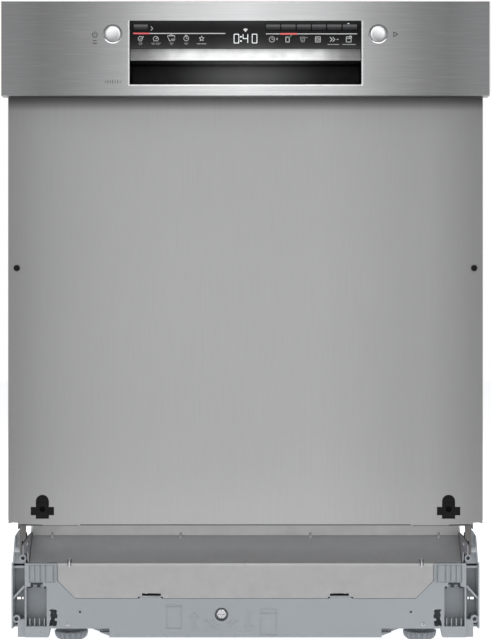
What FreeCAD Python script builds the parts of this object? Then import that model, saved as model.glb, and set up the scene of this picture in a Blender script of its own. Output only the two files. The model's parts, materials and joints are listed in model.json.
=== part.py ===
import FreeCAD, Part
import math, os
from FreeCAD import Vector as V

# Built-in (semi-integrated) 60 cm dishwasher. Millimetres. X to the right, the
# front faces -Y, Z up, floor at Z = 0, origin under the centre of the box.
os.makedirs("parts", exist_ok=True)

# ---------------------------------------------------------------- dimensions
W, H, D = 598.0, 815.0, 573.0        # overall width, height, depth
HX, YF, YB = W / 2, -D / 2, D / 2    # half width, fascia face, rear face
FASCIA_Z0 = 699.5                    # lower edge of the control fascia
REC_X, REC_Z0, REC_Z1 = 142.0, 713.1, 791.3   # recess in the fascia
TRIM_Z0, TRIM_Z1 = 742.1, 757.6      # bright strip over the grip
BTN_X, BTN_Z, BTN_R = 162.6, 775.0, 10.25     # two round buttons
DOOR_X, DOOR_Y, DOOR_Z0 = 293.5, -265.5, 172.6   # outer door sheet
INNER_X, INNER_Y, INNER_Z0, INNER_Z1 = 290.0, -210.0, 174.0, 806.0
PIV_Y, PIV_Z, PIN_R = -240.0, 138.0, 4.0      # door pivot
BASE_Y = -199.5                      # front plane of the plastic base
TUB_X, TUB_Y0, TUB_Y1, TUB_Z0, TUB_Z1, TUB_T = 278.0, -200.0, 262.0, 150.0, 795.0, 1.0
LIP_Z = 166.0                        # tub floor lip at the front
LEDGE_Z = 169.5                      # wheel track in the tub
FOOT_X, FOOT_Y, FOOT_R = 226.0, -165.0, 21.35
SHAFT_X, SHAFT_Z = -30.6, 48.8       # rear foot adjuster
REAR_FOOT_Y = 245.0
ARM_Y = 28.0                         # spray arm axis
ARM_R = 212.0                        # lower spray arm reach
UARM_R = 188.0
WIRE = 4.6                           # basket wire
SAVED = []


# ---------------------------------------------------------------- helpers
def box(x0, x1, y0, y1, z0, z1):
    return Part.makeBox(x1 - x0, y1 - y0, z1 - z0, V(x0, y0, z0))


def cyl(p, d, r, h):
    return Part.makeCylinder(r, h, V(*p), V(*d))


def _face(pts):
    return Part.Face(Part.makePolygon(pts + [pts[0]]))


def xz(pts, y0, y1):
    return _face([V(x, y0, z) for x, z in pts]).extrude(V(0, y1 - y0, 0))


def yz(pts, x0, x1):
    return _face([V(x0, y, z) for y, z in pts]).extrude(V(x1 - x0, 0, 0))


def xy(pts, z0, z1):
    return _face([V(x, y, z0) for x, y in pts]).extrude(V(0, 0, z1 - z0))


def fuse(a, *b):
    return a.multiFuse(list(b)).removeSplitter()


def cut(a, *b):
    return a.cut(list(b))


def mir(s):
    return s.mirror(V(0, 0, 0), V(1, 0, 0))


def both(*s):
    return list(s) + [mir(k) for k in s]


def lathe(prof, x, y):
    """Turn a profile of (radius, z) points about the vertical through x, y."""
    pts = [V(x, y, prof[0][1])] + [V(x + r, y, z) for r, z in prof] + [V(x, y, prof[-1][1])]
    return _face(pts).revolve(V(x, y, 0), V(0, 0, 1), 360)


def rnd(s, r, test):
    """Round the edges whose centre passes the test."""
    e = [k for k in s.Edges if test(k)]
    try:
        return s.makeFillet(r, e) if e else s
    except Exception:
        return s


def vert(e):
    d = e.Vertexes[-1].Point - e.Vertexes[0].Point
    return len(e.Vertexes) == 2 and abs(d.x) < 1e-6 and abs(d.y) < 1e-6


def along_y(e):
    d = e.Vertexes[-1].Point - e.Vertexes[0].Point
    return len(e.Vertexes) == 2 and abs(d.x) < 1e-6 and abs(d.z) < 1e-6


def put(name, *shapes):
    solids = []
    for s in shapes:
        for k in (s if isinstance(s, (list, tuple)) else [s]):
            solids += k.Solids
    assert solids, name
    for s in solids:
        assert s.isValid() and s.Volume > 1, (name, s.isValid(), s.Volume)
    out = solids[0] if len(solids) == 1 else Part.makeCompound(solids)
    out.exportStep("parts/%s.step" % name)
    b = out.BoundBox
    SAVED.append(name)
    print("%-20s %2d solids  %9.1f cm3  X %.1f..%.1f Y %.1f..%.1f Z %.1f..%.1f" % (
        name, len(solids), out.Volume / 1000, b.XMin, b.XMax, b.YMin, b.YMax, b.ZMin, b.ZMax))
    return out


def grid(o, u, v, cu, cv, t, w=WIRE, frame=None):
    """Flat wire grille: wires centred at the coordinates cu along u and cv
    along v, joined in one sheet of thickness t along u x v."""
    U, W_ = V(*u), V(*v)
    N = U.cross(W_)
    a0, a1, b0, b1 = cu[0] - w / 2, cu[-1] + w / 2, cv[0] - w / 2, cv[-1] + w / 2

    def rect(p0, p1, q0, q1):
        pts = [V(*o) + U * a + W_ * b for a, b in ((p0, q0), (p1, q0), (p1, q1), (p0, q1))]
        return Part.makePolygon(pts + [pts[0]])
    wires = [rect(a0, a1, b0, b1)]
    for i in range(len(cu) - 1):
        for j in range(len(cv) - 1):
            wires.append(rect(cu[i] + w / 2, cu[i + 1] - w / 2, cv[j] + w / 2, cv[j + 1] - w / 2))
    f = Part.Face(wires[0])
    if len(wires) > 1:
        f = f.cut(Part.makeCompound([Part.Face(k) for k in wires[1:]]))
    return f.extrude(N * t)


def spread(a, b, n):
    return [a + (b - a) * i / (n - 1) for i in range(n)]


# ================================================================ BASE
# Plastic base: shallow tray, front wall with corner blocks, wings, pockets.
sec = [(-299, 115), (-299, 30.8), (-204, 30.8), (-173.5, 19.5), (173.5, 19.5), (204, 30.8),
       (299, 30.8), (299, 115), (296, 115), (296, 33.8), (203.2, 33.8), (172.7, 22.5),
       (-172.7, 22.5), (-203.2, 33.8), (-296, 33.8), (-296, 115)]
tray = xz(sec, -186.0, YB - 3)
rear = xz([(-299, 115), (-299, 30.8), (-204, 30.8), (-173.5, 19.5), (173.5, 19.5), (204, 30.8),
           (299, 30.8), (299, 115)], YB - 3, YB)
half = [(173.8, 19.5), (173.8, 30.8), (249.8, 30.8), (252, 19.5), (282, 19.5), (282, 114), (241, 114),
        (241, 92.3), (217.8, 69), (137, 69), (134, 71), (109, 71), (106, 69)]
front = xz(half + [(-x, z) for x, z in reversed(half)], BASE_Y, -184.0)
wing = xz([(281, 30.8), (299, 30.8), (299, 114.6), (297.4, 116), (294.8, 149), (291.5, 154.4),
           (286, 155), (282.2, 149), (281, 114)], -178.0, -172.0)
wing_top = xz([(281, 113), (298, 113), (297.4, 116), (294.8, 149), (291.5, 154.4), (286, 155), (282.2, 149)], -194.0, -172)
inner = box(280.5, 282, -186, -172, 33, 114)
web = xz([(173.5, 19.5), (173.5, 34), (206, 34), (206, 30.8), (204, 30.8)], -191, -184)
block = box(282, 291.3, -197, -172, 19.5, 42)
pock = box(250.5, 284, -186, -177, 33.0, 88)
rib1 = box(282, 298, -196, -172, 107.5, 110.5)
rib2 = xz([(281.9, 83.5), (296.6, 67.6), (298.6, 69.4), (283.4, 86)], -197.5, -172)
edge = xz([(297, 30.8), (299, 30.8), (299, 114.6), (297.4, 116), (294.8, 149), (293, 149), (295.4, 116),
           (297, 114)], BASE_Y, -172)
ring1 = cyl((284.6, -173, 120.4), (0, -1, 0), 4.6, 24.5)
ring2 = cyl((292.9, -173, 42.7), (0, -1, 0), 5.0, 24.5)
ped = cyl((FOOT_X, FOOT_Y, 30.8), (0, 0, 1), 13.0, 60)
base = fuse(tray, rear, front, *both(wing, wing_top, inner, web, block, pock, rib1, rib2, edge, ring1, ring2, ped))
tower = box(-54, -7, 222, 268, 19.6, 104)
hold1 = box(-40, -21, -184, -176, 22, 62)
hold2 = box(-40, -21, 40, 46, 22, 60)
rim = cyl((SHAFT_X, BASE_Y + 4, SHAFT_Z), (0, -1, 0), 11.5, 4)
base = fuse(base, tower, hold1, hold2, rim)
cuts = [box(-238, 238, -196.5, -186.1, 24.5, 66), box(-170, 170, -196.5, -186.1, 22.5, 24.6)]
base = cut(base, *cuts)
base = fuse(base, box(-46, -15, -197, -183, 30, 68))
cuts = [cyl((SHAFT_X, -205, SHAFT_Z), (0, 1, 0), 8.7, 14),
        cyl((SHAFT_X, -192, SHAFT_Z), (0, 1, 0), PIN_R + 0.05, 260),
        cyl((SHAFT_X, REAR_FOOT_Y, 10), (0, 0, 1), 12.3, 90)]
# jagged service opening beside the corner block
JAG = [(251.0, 54.8), (247.2, 55.6), (241.6, 54.8), (240.5, 52.3), (241.6, 50.2), (240.2, 48.2),
       (240.2, 44.0), (243.7, 43.3), (243.7, 41.2), (240.5, 40.1), (241.3, 34.3), (244.4, 33.2),
       (247.2, 34.3), (251.0, 33.2), (250.2, 39.9), (248.5, 42.6), (249.7, 48.2), (248.5, 51.6)]
for s in (1, -1):
    def c(p, d, r, h, s=s):
        return cyl((s * p[0], p[1], p[2]), d, r, h)

    def b(x0, x1, *k, s=s):
        return box(min(s * x0, s * x1), max(s * x0, s * x1), *k)
    cuts += [b(253.9, 280, -210, -180, 33.4, 83.6), b(258.7, 274.9, -210, -180, 83.5, 86.0),
             c((FOOT_X, FOOT_Y, 20), (0, 0, 1), 8.3, 80),
             c((211.3, -205, 52.1), (0, 1, 0), 1.5, 15), c((227, -205, 36.4), (0, 1, 0), 2.1, 12),
             b(286.4, 295.6, -190, -165, 63.6, 67.6), b(295, 300, -171.9, -60, 42, 80),
             xz([(s * x, z) for x, z in JAG], -205, -176),
             c((284.6, -200, 120.4), (0, 1, 0), 2.4, 12), c((292.9, -200, 42.7), (0, 1, 0), 2.6, 12)]
    ribs = [242, 247, 257.4, 263.9, 270.9, 277.5]
    for k in range(len(ribs) - 1):
        cuts.append(b(ribs[k] + 0.7, ribs[k + 1] - 0.7, -200, -198.6, 89.6, 111.5))
# recess windows in the centre face and rear service opening
cuts += [box(-100.9, -81.5, -200, BASE_Y + 0.35, 31, 60.9), box(19.1, 39.7, -200, BASE_Y + 0.35, 22, 55.5),
         box(-280, -190, YB - 4, YB + 1, 42, 104), box(175, 265, YB - 4, YB + 1, 42, 104),
         box(60, 160, YB - 4, YB + 1, 36, 104)]
base = cut(base, *cuts)
hooks = []
for i in range(4):
    x = 256.5 + i * 6.2
    hooks.append(box(x, x + 1.6, -196, -188, 33, 43))
base = fuse(base, *both(*hooks))
put("base_tray", base)

scr = [cyl((sx * 227, BASE_Y - 0.9, 36.4), (0, 1, 0), 2.5, 0.9).fuse(
       cyl((sx * 227, BASE_Y, 36.4), (0, 1, 0), 1.9, 8)) for sx in (1, -1)]
scr += [cyl((sx * 288, 283.5, z), (0, 1, 0), 4.2, 1.8) for sx in (1, -1) for z in (150, 470, 790)]
scr += [cyl((sx * x, -178, 809), (0, 0, 1), 3.6, 1.6) for sx in (1, -1) for x in (200, 285)]
put("base_screws", scr)

# Bent sheet between the base and the tub lip: strip, sloping face, shelf, plate.
toe = yz([(-171, 165.8), (-171, 146.4), (-198.4, 115.0), (-199.2, 114.0), (-199.2, 69.3), (-198.2, 69.3),
          (-198.2, 113.7), (-197.6, 114.5), (-170, 146), (-170, 165.8)], -240.8, 240.8)
toe = cut(toe, *both(xz([(216.6, 68), (242, 68), (242, 93.9)], -205, -195),
                     box(105.6, 137.4, -205, -195, 68, 71.2),
                     xz([(108, 72.6), (132, 72.6), (132, 75.8), (126, 75.1), (124, 75.8), (108, 75.4)], -205, -195)))
side = yz([(-171, 165.8), (-171, 146.4), (-198.4, 115.0), (-197.6, 114.5), (-170, 146), (-170, 165.8)],
          240.8, 275.8)
toe = fuse(toe, *both(side))
put("toe_sheet", toe)

# ---------------------------------------------------------------- feet
foot = lathe([(17, 0), (18.5, 1.5), (18.5, 5), (13, 9), (12.5, 14), (14.5, 17.5), (18.2, 21.5), (20.6, 25),
              (FOOT_R, 27.5), (FOOT_R, 29), (20, 29.5), (8.0, 29.5), (8.0, 90)], FOOT_X, FOOT_Y)
put("front_foot_right", foot)
put("front_foot_left", mir(foot))
rf = fuse(cyl((SHAFT_X, REAR_FOOT_Y, 0), (0, 0, 1), 20, 14), cyl((SHAFT_X, REAR_FOOT_Y, 14), (0, 0, 1), 12.0, 84))
put("rear_foot", rf)
hexa = [(SHAFT_X + 6.4 * math.cos(math.radians(60 * i)), SHAFT_Z + 6.4 * math.sin(math.radians(60 * i))) for i in range(6)]
shaft = fuse(xz(hexa, -196.5, -192.4), cyl((SHAFT_X, -192.4, SHAFT_Z), (0, 1, 0), PIN_R, 414))
shaft = cut(shaft, box(SHAFT_X - 5, SHAFT_X + 5, -197, -194.5, SHAFT_Z - 0.7, SHAFT_Z + 0.7),
            box(SHAFT_X - 0.7, SHAFT_X + 0.7, -197, -194.5, SHAFT_Z - 5, SHAFT_Z + 5))
put("rear_foot_shaft", shaft)

# ================================================================ CABINET
# Side panels: painted sheet with a folded top edge, lower front corner cut back.
sp = yz([(-226, 168), (-226, 812), (280, 812), (280, 116), (0, 116), (0, 150),
         (-140, 150), (-140, 168)], 298, 299)
sp = fuse(sp, box(288, 298, -190, 280, 811, 812), box(288, 298, 279, 280, 116, 811))
put("side_panel_right", sp)
put("side_panel_left", mir(sp))

# Rear frame: pressed steel frame with folded edges, and a lower cross member
# of three strips spot-welded under it.
rfm = xz([(-297, 180), (297, 180), (297, 810), (-297, 810)], 282, 283.5)
rfm = cut(rfm, box(-232, 232, 280, 285, 205, 745))
rfm = fuse(rfm, box(-287, 287, 266, 282, 808.5, 810), *both(box(232, 233.5, 268, 282, 203.5, 746.5)))
rfm = fuse(rfm, box(-233, 233, 268, 282, 745, 746.5), box(-233, 233, 268, 282, 203.5, 205))
low = both(box(140, 297, 282, 283.5, 130, 180)) + [box(-297, 297, 282, 283.5, 116, 130)]
put("rear_frame", rfm, low)

# Worktop fixing rail across the top front with two upturned tabs.
wr = fuse(box(-297, 297, -196, -160, 807.5, 809), box(-297, 297, -161.5, -160, 797, 807.5),
          *both(box(215, 245, -197.5, -196, 800, 811)))
wr = cut(wr, *both(cyl((230, -178, 800), (0, 0, 1), 2.5, 12), box(120, 170, -186, -170, 805, 811)))
put("worktop_rail", wr)

# ================================================================ TUB
tub = fuse(box(-TUB_X, TUB_X, TUB_Y0, TUB_Y1, LIP_Z, TUB_Z1), box(-TUB_X, TUB_X, -170, TUB_Y1, TUB_Z0, LIP_Z + 1))
T = TUB_T
tub = cut(tub, box(-TUB_X + T, TUB_X - T, TUB_Y0 - 1, TUB_Y1 - T, LIP_Z + T, TUB_Z1 - T),
          box(-TUB_X + T, TUB_X - T, -168, TUB_Y1 - T, TUB_Z0 + T, LIP_Z + T + 1))
fl = xz([(-296, LIP_Z), (-296, 806), (296, 806), (296, LIP_Z), (277, LIP_Z), (277, 794), (-277, 794), (-277, LIP_Z)],
        TUB_Y0, TUB_Y0 + 1.5)
ledge = box(242, TUB_X - 1, -169, TUB_Y1 - 1, TUB_Z0 + 1, LEDGE_Z)
fl = cut(fl, box(-14, 14, -205, -195, 801, 807))
tub = fuse(tub, fl, *both(ledge))
SUMP = (30.0, 42.0)
tub = cut(tub, *both(box(243, TUB_X - 2, -168, TUB_Y1 - 2, TUB_Z0 - 1, LEDGE_Z - 1)))
tub = cut(tub, cyl((SUMP[0], SUMP[1], 140), (0, 0, 1), 92, 20), cyl((-175, 135, 140), (0, 0, 1), 37, 20))
put("tub", tub)

# Rubber profile round the opening, three sides, sitting on the front flange.
seal = xz([(-288, LIP_Z + 1), (-288, 800.5), (288, 800.5), (288, LIP_Z + 1), (281, LIP_Z + 1), (281, 794.5),
           (-281, 794.5), (-281, LIP_Z + 1)], -209.6, TUB_Y0)
put("tub_seal", seal)

# Fleece and bitumen mat over the top and sides of the tub.
mat = xz([(-283.5, 300), (-283.5, 801), (283.5, 801), (283.5, 300), (278.3, 300), (278.3, 795.3), (-278.3, 795.3),
          (-278.3, 300)], -158, 250)
put("tub_insulation", mat)

# Sump bowl under the tub with the post that carries the lower spray arm.
sump = fuse(cyl((SUMP[0], SUMP[1], 84), (0, 0, 1), 96, TUB_Z0 - 84))
sump = cut(sump, cyl((SUMP[0], SUMP[1], 88), (0, 0, 1), 91, 70))
post = fuse(cyl((0, ARM_Y, 86), (0, 0, 1), 14, 90), cyl((0, ARM_Y, 176), (0, 0, 1), 9.95, 9))
well = cut(cyl((78, 52, 86), (0, 0, 1), 36, 64), cyl((78, 52, 89), (0, 0, 1), 34, 64))
sump = fuse(sump, post, well)
sump = cut(sump, cyl((0, ARM_Y, 92), (0, 0, 1), 7.0, 100))
put("sump", sump)

flt = box(-105, 150, -95, 165, TUB_Z0 + T, TUB_Z0 + T + 1.6)
flt = rnd(flt, 40, vert)
flt = cut(flt, cyl((0, ARM_Y, 140), (0, 0, 1), 14.4, 30), cyl((78, 52, 140), (0, 0, 1), 34.5, 30))
put("filter_plate", flt)
# Removable micro filter cylinder with its turning grip.
fc = fuse(cyl((78, 52, 98), (0, 0, 1), 33.3, 62), cyl((78, 52, 160), (0, 0, 1), 31, 3.5),
          box(52, 104, 49.5, 54.5, 163.5, 172))
fc = cut(fc, cyl((78, 52, 97), (0, 0, 1), 31, 55))
put("filter_cylinder", fc)

# Softener with its salt neck and screw cap.
sof = box(-252, -112, 66, 214, 62, TUB_Z0 - 0.1)
sof = rnd(sof, 14, vert)
sof = fuse(sof, cyl((-175, 135, TUB_Z0 - 4), (0, 0, 1), 36.8, 7.5))
sof = cut(sof, cyl((-175, 135, 80), (0, 0, 1), 32, 90), box(-244, -120, 74, 126, 70, 140))
put("water_softener", sof)
cap = fuse(cyl((-175, 135, 132), (0, 0, 1), 31.7, 22), cyl((-175, 135, 154), (0, 0, 1), 40, 6),
           box(-207, -143, 131, 139, 160, 167))
cap = cut(cap, cyl((-175, 135, 131), (0, 0, 1), 28, 20))
put("salt_cap", cap)

# Pumps, all under the tub.
cp = fuse(cyl((30, -106, 103), (1, 0, 0), 40, 105), cyl((135, -106, 103), (1, 0, 0), 33, 40),
          cyl((175, -106, 103), (1, 0, 0), 12, 8), box(60, 110, -106, -60, 95, 118),
          box(40, 60, -118, -94, 33, 70), box(140, 160, -118, -94, 33, 72))
put("circulation_pump", cp)
dp = fuse(cyl((130, 40, 96), (1, 0, 0), 26, 44), cyl((174, 40, 96), (1, 0, 0), 20, 34), box(126.1, 131, 20, 60, 90, 112))
put("drain_pump", dp)

# Flat water tank between tub and left panel, with the drain spigot at the rear.
hx = fuse(box(-296.5, -285, -110, 176, 190, 690), box(-295, -286, 150, 176, 62, 192),
          box(-295, -286, 170, 236, 62, 84), box(-290, -221, 230, 250, 62, 84),
          cyl((-230, 250, 73), (0, 1, 0), 9.5, 34))
hx = cut(hx, *[box(-298, -294.5, -100, 166, z, z + 6) for z in range(215, 680, 45)])
hx = cut(hx, cyl((-230, 246, 73), (0, 1, 0), 7.5, 40))
put("heat_exchanger", hx)

# Inlet solenoid valve with a G3/4 male thread envelope facing the rear.
iv = fuse(box(196, 246, 216, 262, 54, 98), cyl((221, 261, 76), (0, 1, 0), 13.2, 23), cyl((209, 232, 97), (0, 0, 1), 10, 10))
iv = cut(iv, cyl((221, 256, 76), (0, 1, 0), 9.0, 40))
put("inlet_valve", iv)

# Power module with the mains inlet socket at the rear.
pm = fuse(box(66, 180, 150, 262, 26, 60), box(92, 130, 262, 281, 34, 62))
pm = cut(pm, box(97, 125, 268, 282, 38, 58))
pm = fuse(pm, *[box(x, x + 4.5, 268, 279, 47, 49) for x in (101.5, 108.7, 116)])
put("power_module", pm)

# Riser on the rear wall that feeds the upper arm and the ceiling sprayer.
fp = fuse(box(-22, 22, 246, TUB_Y1 - T, 168, 782), box(-22, 22, 40, 250, 782, TUB_Z1 - T),
          cyl((0, ARM_Y + 12, TUB_Z1 - T - 16), (0, 0, 1), 26, 16),
          cyl((0, 236, 476), (0, 1, 0), 11, 12))
put("feed_pipe", fp)

# Fixed runners: upper basket and cutlery drawer, both sides.
r1 = cut(box(268.2, TUB_X - T, -188, 240, 546, 574), box(268, 273.5, -189, 239, 549, 571))
r2 = cut(box(268.2, TUB_X - T, -188, 240, 720, 742), box(268, 273.5, -189, 239, 723, 739))
put("basket_rails", both(r1, r2))

st = fuse(box(-13, 13, -224, -185, 801.5, 803.5), box(-13, -9, -224, -206, 801.5, 806), box(9, 13, -224, -206, 801.5, 806),
          box(-13, 13, -190, -184, 795.1, 802))
st = cut(st, box(-7, 7, -220, -212, 790, 810))
put("latch_striker", st)

# Door hinge brackets with pivot pins, standing on the base corners.
hb = yz([(-248, 132), (-248, 144), (-244, 147), (-202, 149.4), (-150, 149.4), (-150, 100), (-184, 100),
         (-184, 114), (-197, 114), (-207, 130)], 276.5, 278.5)
hb = fuse(hb, cyl((277, PIV_Y, PIV_Z), (1, 0, 0), PIN_R, 12), box(262, 277, -184, -182, 100, 112))
put("hinge_brackets", both(hb))

# Counterbalance springs under the tub sides.
spg = cut(cyl((272, -120, 96), (0, 1, 0), 9, 150), cyl((272, -121, 96), (0, 1, 0), 6.5, 152))
spg = fuse(spg, box(264.5, 279.5, 29, 31, 88, 104), box(264.5, 279.5, -121, -119, 88, 104))
put("door_springs", both(spg))

# ================================================================ DOOR
bot = [(-292.5, 176), (-291, 174.7), (-281, 173.9), (-279.5, 172.3), (-252, 171.8), (-251, 171.1),
       (-206.4, 171.1), (-205.2, 172.2)]
bot = bot + [(-x, z) for x, z in reversed(bot)]
ds = xz([(-DOOR_X, 178.5)] + bot + [(DOOR_X, 178.5), (DOOR_X, 706), (-DOOR_X, 706)], DOOR_Y, DOOR_Y + 1)
ds = fuse(ds, *both(box(DOOR_X - 1, DOOR_X, DOOR_Y + 1, -213, 179, 706)))
ds = fuse(ds, box(-204, 204, DOOR_Y + 0.5, -236, 172.8, 173.8))
key = [(251.2 - 8.1, 193.7), (251.2 - 14.4, 193.7), (251.2 - 14.4, 183.4), (251.2 - 8.1, 183.4), (251.2 - 8.1, 179.1),
       (251.2 + 8.1, 179.1), (251.2 + 8.1, 183.4), (251.2 + 14.4, 183.4), (251.2 + 14.4, 193.7), (251.2 + 8.1, 193.7),
       (251.2 + 8.1, 200.6)] + [(251.2 + 8.1 * math.cos(math.radians(a)), 200.6 + 8.1 * math.sin(math.radians(a)))
                                for a in range(15, 180, 15)] + [(251.2 - 8.1, 200.6)]
ds = cut(ds, *both(xz(key, -268, -262), cyl((282.8, -268, 489), (0, 1, 0), 3.0, 6)))
put("door_outer_sheet", ds)

pl = fuse(box(234, 269, -264.5, -257, 177, 211), box(244.5, 258, -265.2, -264.4, 181, 199))
pl = cut(pl, box(240, 262, -262, -258.5, 183, 200), cyl((251.2, -270, 191), (0, 1, 0), 3.6, 11.5))
rp = fuse(cyl((282.8, -266.6, 489), (0, 1, 0), 3.8, 1.1), cyl((282.8, -265.6, 489), (0, 1, 0), 2.95, 5))
put("door_plugs", both(pl, rp))

# Inner door panel: pressed stainless tray with an opening for the dispenser.
DX0, DX1, DZ0, DZ1 = -82.0, 82.0, 335.0, 480.0
di = box(-INNER_X, INNER_X, INNER_Y - 1, INNER_Y, INNER_Z0, INNER_Z1)
di = fuse(di, *both(box(INNER_X - 1, INNER_X, -234, INNER_Y - 1, INNER_Z0, 706)))
di = fuse(di, box(-INNER_X, INNER_X, -220.5, INNER_Y - 1, INNER_Z0, INNER_Z0 + 1))
di = cut(di, box(DX0, DX1, -215, -205, DZ0, DZ1), box(-15, 15, -215, -205, 798.5, 807))
put("door_inner_sheet", di)

# Hinge arms: plate from the pivot up into the door, bore on the pivot pin.
ha = yz([(-247, 138), (-244.95, 133.05), (-240, 131), (-235.05, 133.05), (-233, 138), (-232.5, 165), (-222, 178),
         (-222, 300), (-252, 300), (-252, 178), (-247.5, 165)], 279.3, 281.8)
ha = fuse(ha, box(279.3, 288, -252, -250, 180, 300))
ha = fuse(ha, xz([(274.0, 152), (279.4, 148.5), (279.4, 176), (273.5, 176)], -248.4, -246.4))
ha = cut(ha, cyl((270, PIV_Y, PIV_Z), (1, 0, 0), PIN_R + 0.06, 30))
put("hinge_arms", both(ha))

# Control fascia: folded stainless sheet.
fa = box(-HX, HX, YF, YF + 1, FASCIA_Z0, H)
fa = fuse(fa, box(-HX, HX, YF + 1, -262, H - 1, H), box(-HX, HX, YF + 1, -267, FASCIA_Z0, FASCIA_Z0 + 1),
          *both(box(HX - 1, HX, YF + 1, -262, FASCIA_Z0 + 1, H - 1)))
fa = rnd(fa, 0.9, lambda e: abs(e.BoundBox.YMin - YF) < 0.05 and abs(e.BoundBox.YMax - YF) < 0.05)
win = rnd(box(-REC_X, REC_X, YF - 2, YF + 5, REC_Z0, REC_Z1), 1.2, along_y)
fa = cut(fa, win, *both(cyl((BTN_X, YF - 2, BTN_Z), (0, 1, 0), BTN_R + 0.35, 8)))
put("control_fascia", fa)

# Carrier behind the fascia with the grip cavity and the electronics chamber.
pc = box(-291, 291, -283, -212, 706.3, 812)
pc = cut(pc, box(-288.5, 288.5, -280.6, -211, 709, 809.5))
pc = fuse(pc, box(-297.5, 297.5, -285.4, -282.9, 701, 813.4))
hous = box(-146, 146, -283, -238, 709, 795)
pc = fuse(pc, hous)
pc = cut(pc, box(-REC_X, REC_X, -287, -241, REC_Z0, 742), box(-REC_X, REC_X, -287, -282, 741, REC_Z1),
         box(-REC_X, REC_X, -283, -256, 745, REC_Z1), box(-REC_X, REC_X, -283, -266, 741.9, 746),
         *both(cyl((BTN_X, -290, BTN_Z), (0, 1, 0), BTN_R + 0.5, 12)))
pc = cut(pc, box(-37, 37, -216, -210, 768, 810))
put("panel_carrier", pc)

# Glossy window with key openings.
kz0, kz1 = 779.9, 787.0
keys = [(-136.9, -119.6)] + [(25.2, 42.6), (43.9, 61.4), (62.7, 80.2), (81.3, 98.6), (100.0, 117.6), (119.0, 136.5)]
dw = box(-REC_X + 0.3, REC_X - 0.3, -284.6, -282.4, TRIM_Z1 + 0.1, REC_Z1 - 0.2)
dw = cut(dw, *[box(a - 0.3, b + 0.3, -287, -280, kz0 - 0.3, kz1 + 0.3) for a, b in keys])
put("display_window", dw)
names = ["left_key"] + ["right_key_%d" % i for i in range(1, 7)]
for n, (a, b) in zip(names, keys):
    k = fuse(box(a, b, -285.3, -280.8, kz0, kz1))
    k = rnd(k, 0.5, lambda e: abs(e.BoundBox.YMax + 285.3) < 0.01)
    put(n, k)

ht = yz([(-285.6, TRIM_Z0 + 0.1), (-286.0, TRIM_Z0 + 1.4), (-285.2, TRIM_Z1 - 0.2), (-282.6, TRIM_Z1), (-267, TRIM_Z1),
         (-267, TRIM_Z1 - 4), (-279, TRIM_Z1 - 5), (-281.5, TRIM_Z0 + 0.1)], -REC_X + 0.3, REC_X - 0.3)
put("handle_trim", ht)

pcb = fuse(box(-139, 139, -262, -260.4, 748, 789), box(-136, 136, -278.0, -262, 762, 779), box(-30, 30, -260.4, -257, 755, 770),
           box(60, 90, -260.4, -256.4, 752, 762))
put("control_board", pcb)

lk = box(-35, 35, -236, -212.2, 770, 809)
lk = cut(lk, box(-15, 15, -228, -211, 798.5, 809.5))
lk = fuse(lk, box(-5, 5, -219, -213, 798.4, 799.6))
put("door_lock", lk)

for n, s in (("power_button", -1), ("start_button", 1)):
    bt = fuse(cyl((s * BTN_X, YF, BTN_Z), (0, 1, 0), BTN_R, 6.5), cyl((s * BTN_X, YF + 6.5, BTN_Z), (0, 1, 0), 4, 14))
    bt = rnd(bt, 0.8, lambda e: abs(e.BoundBox.YMax - YF) < 0.01)
    put(n, bt)

# Dispenser for detergent and rinse aid.
dp = box(DX0 + 0.2, DX1 - 0.2, -246, -200, DZ0 + 0.2, DZ1 - 0.2)
dp = rnd(dp, 6, lambda e: along_y(e))
dp = cut(dp, box(-68, -8, -236, -199, 404, 466), cyl((42, -203, 430), (0, 1, 0), 24, 4))
put("dispenser_body", dp)
ld = box(-72, -4, -199.7, -196.5, 400.5, 469.5)
ld = rnd(ld, 5, along_y)
ld = fuse(ld, box(-52, -24, -196.6, -194.0, 404, 408))
put("detergent_lid", ld)
rc = fuse(box(16, 68, -199.7, -197, 402, 458), cyl((18, -197.8, 459.6), (1, 0, 0), 1.9, 48))
rc = rnd(rc, 4, lambda e: along_y(e) and e.BoundBox.ZMax < 405)
put("rinse_cap", rc)

# ================================================================ SPRAY ARMS
def arm(z0, z1, r, cx, cy, hub):
    pts = [(-r, -9), (-r + 6, -15), (-60, -24), (60, -22), (r - 6, -13), (r, -7), (r, 9), (r - 6, 15), (60, 24),
           (-60, 22), (-r + 6, 13), (-r, 7)]
    a = xy([(cx + x, cy + y) for x, y in pts], z0, z1)
    a = a.fuse(cyl((cx, cy, z0 - hub[0]), (0, 0, 1), hub[1], (z1 - z0) + hub[0] + hub[2]))
    return a.removeSplitter()


la = arm(181, 190, ARM_R, 0, ARM_Y, (4.7, 27, 3))
la = cut(la, cyl((0, ARM_Y, 170), (0, 0, 1), 10.0, 16))
la = cut(la, *[cyl((s * x, ARM_Y + s * 3, 186), (0, 0, 1), 1.6, 6) for s in (1, -1) for x in (70, 110, 150, 188)])
put("lower_spray_arm", la)
ua = arm(470, 479, UARM_R, 0, ARM_Y, (3, 24, 3.2))
ua = cut(ua, cyl((0, ARM_Y, 473), (0, 0, 1), 10.0, 16))
ua = cut(ua, *[cyl((s * x, ARM_Y + s * 3, 476), (0, 0, 1), 1.6, 6) for s in (1, -1) for x in (65, 105, 145, 170)])
put("upper_spray_arm", ua)

# ================================================================ BASKETS
def comb(x0, x1, y, z0, h, n, w=2.8):
    parts_ = [box(x0, x1, y - w / 2, y + w / 2, z0, z0 + w)]
    for x in spread(x0 + w / 2, x1 - w / 2, n):
        parts_.append(box(x - w / 2, x + w / 2, y - w / 2, y + w / 2, z0 + w - 0.01, z0 + h))
    return fuse(*parts_)


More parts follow.
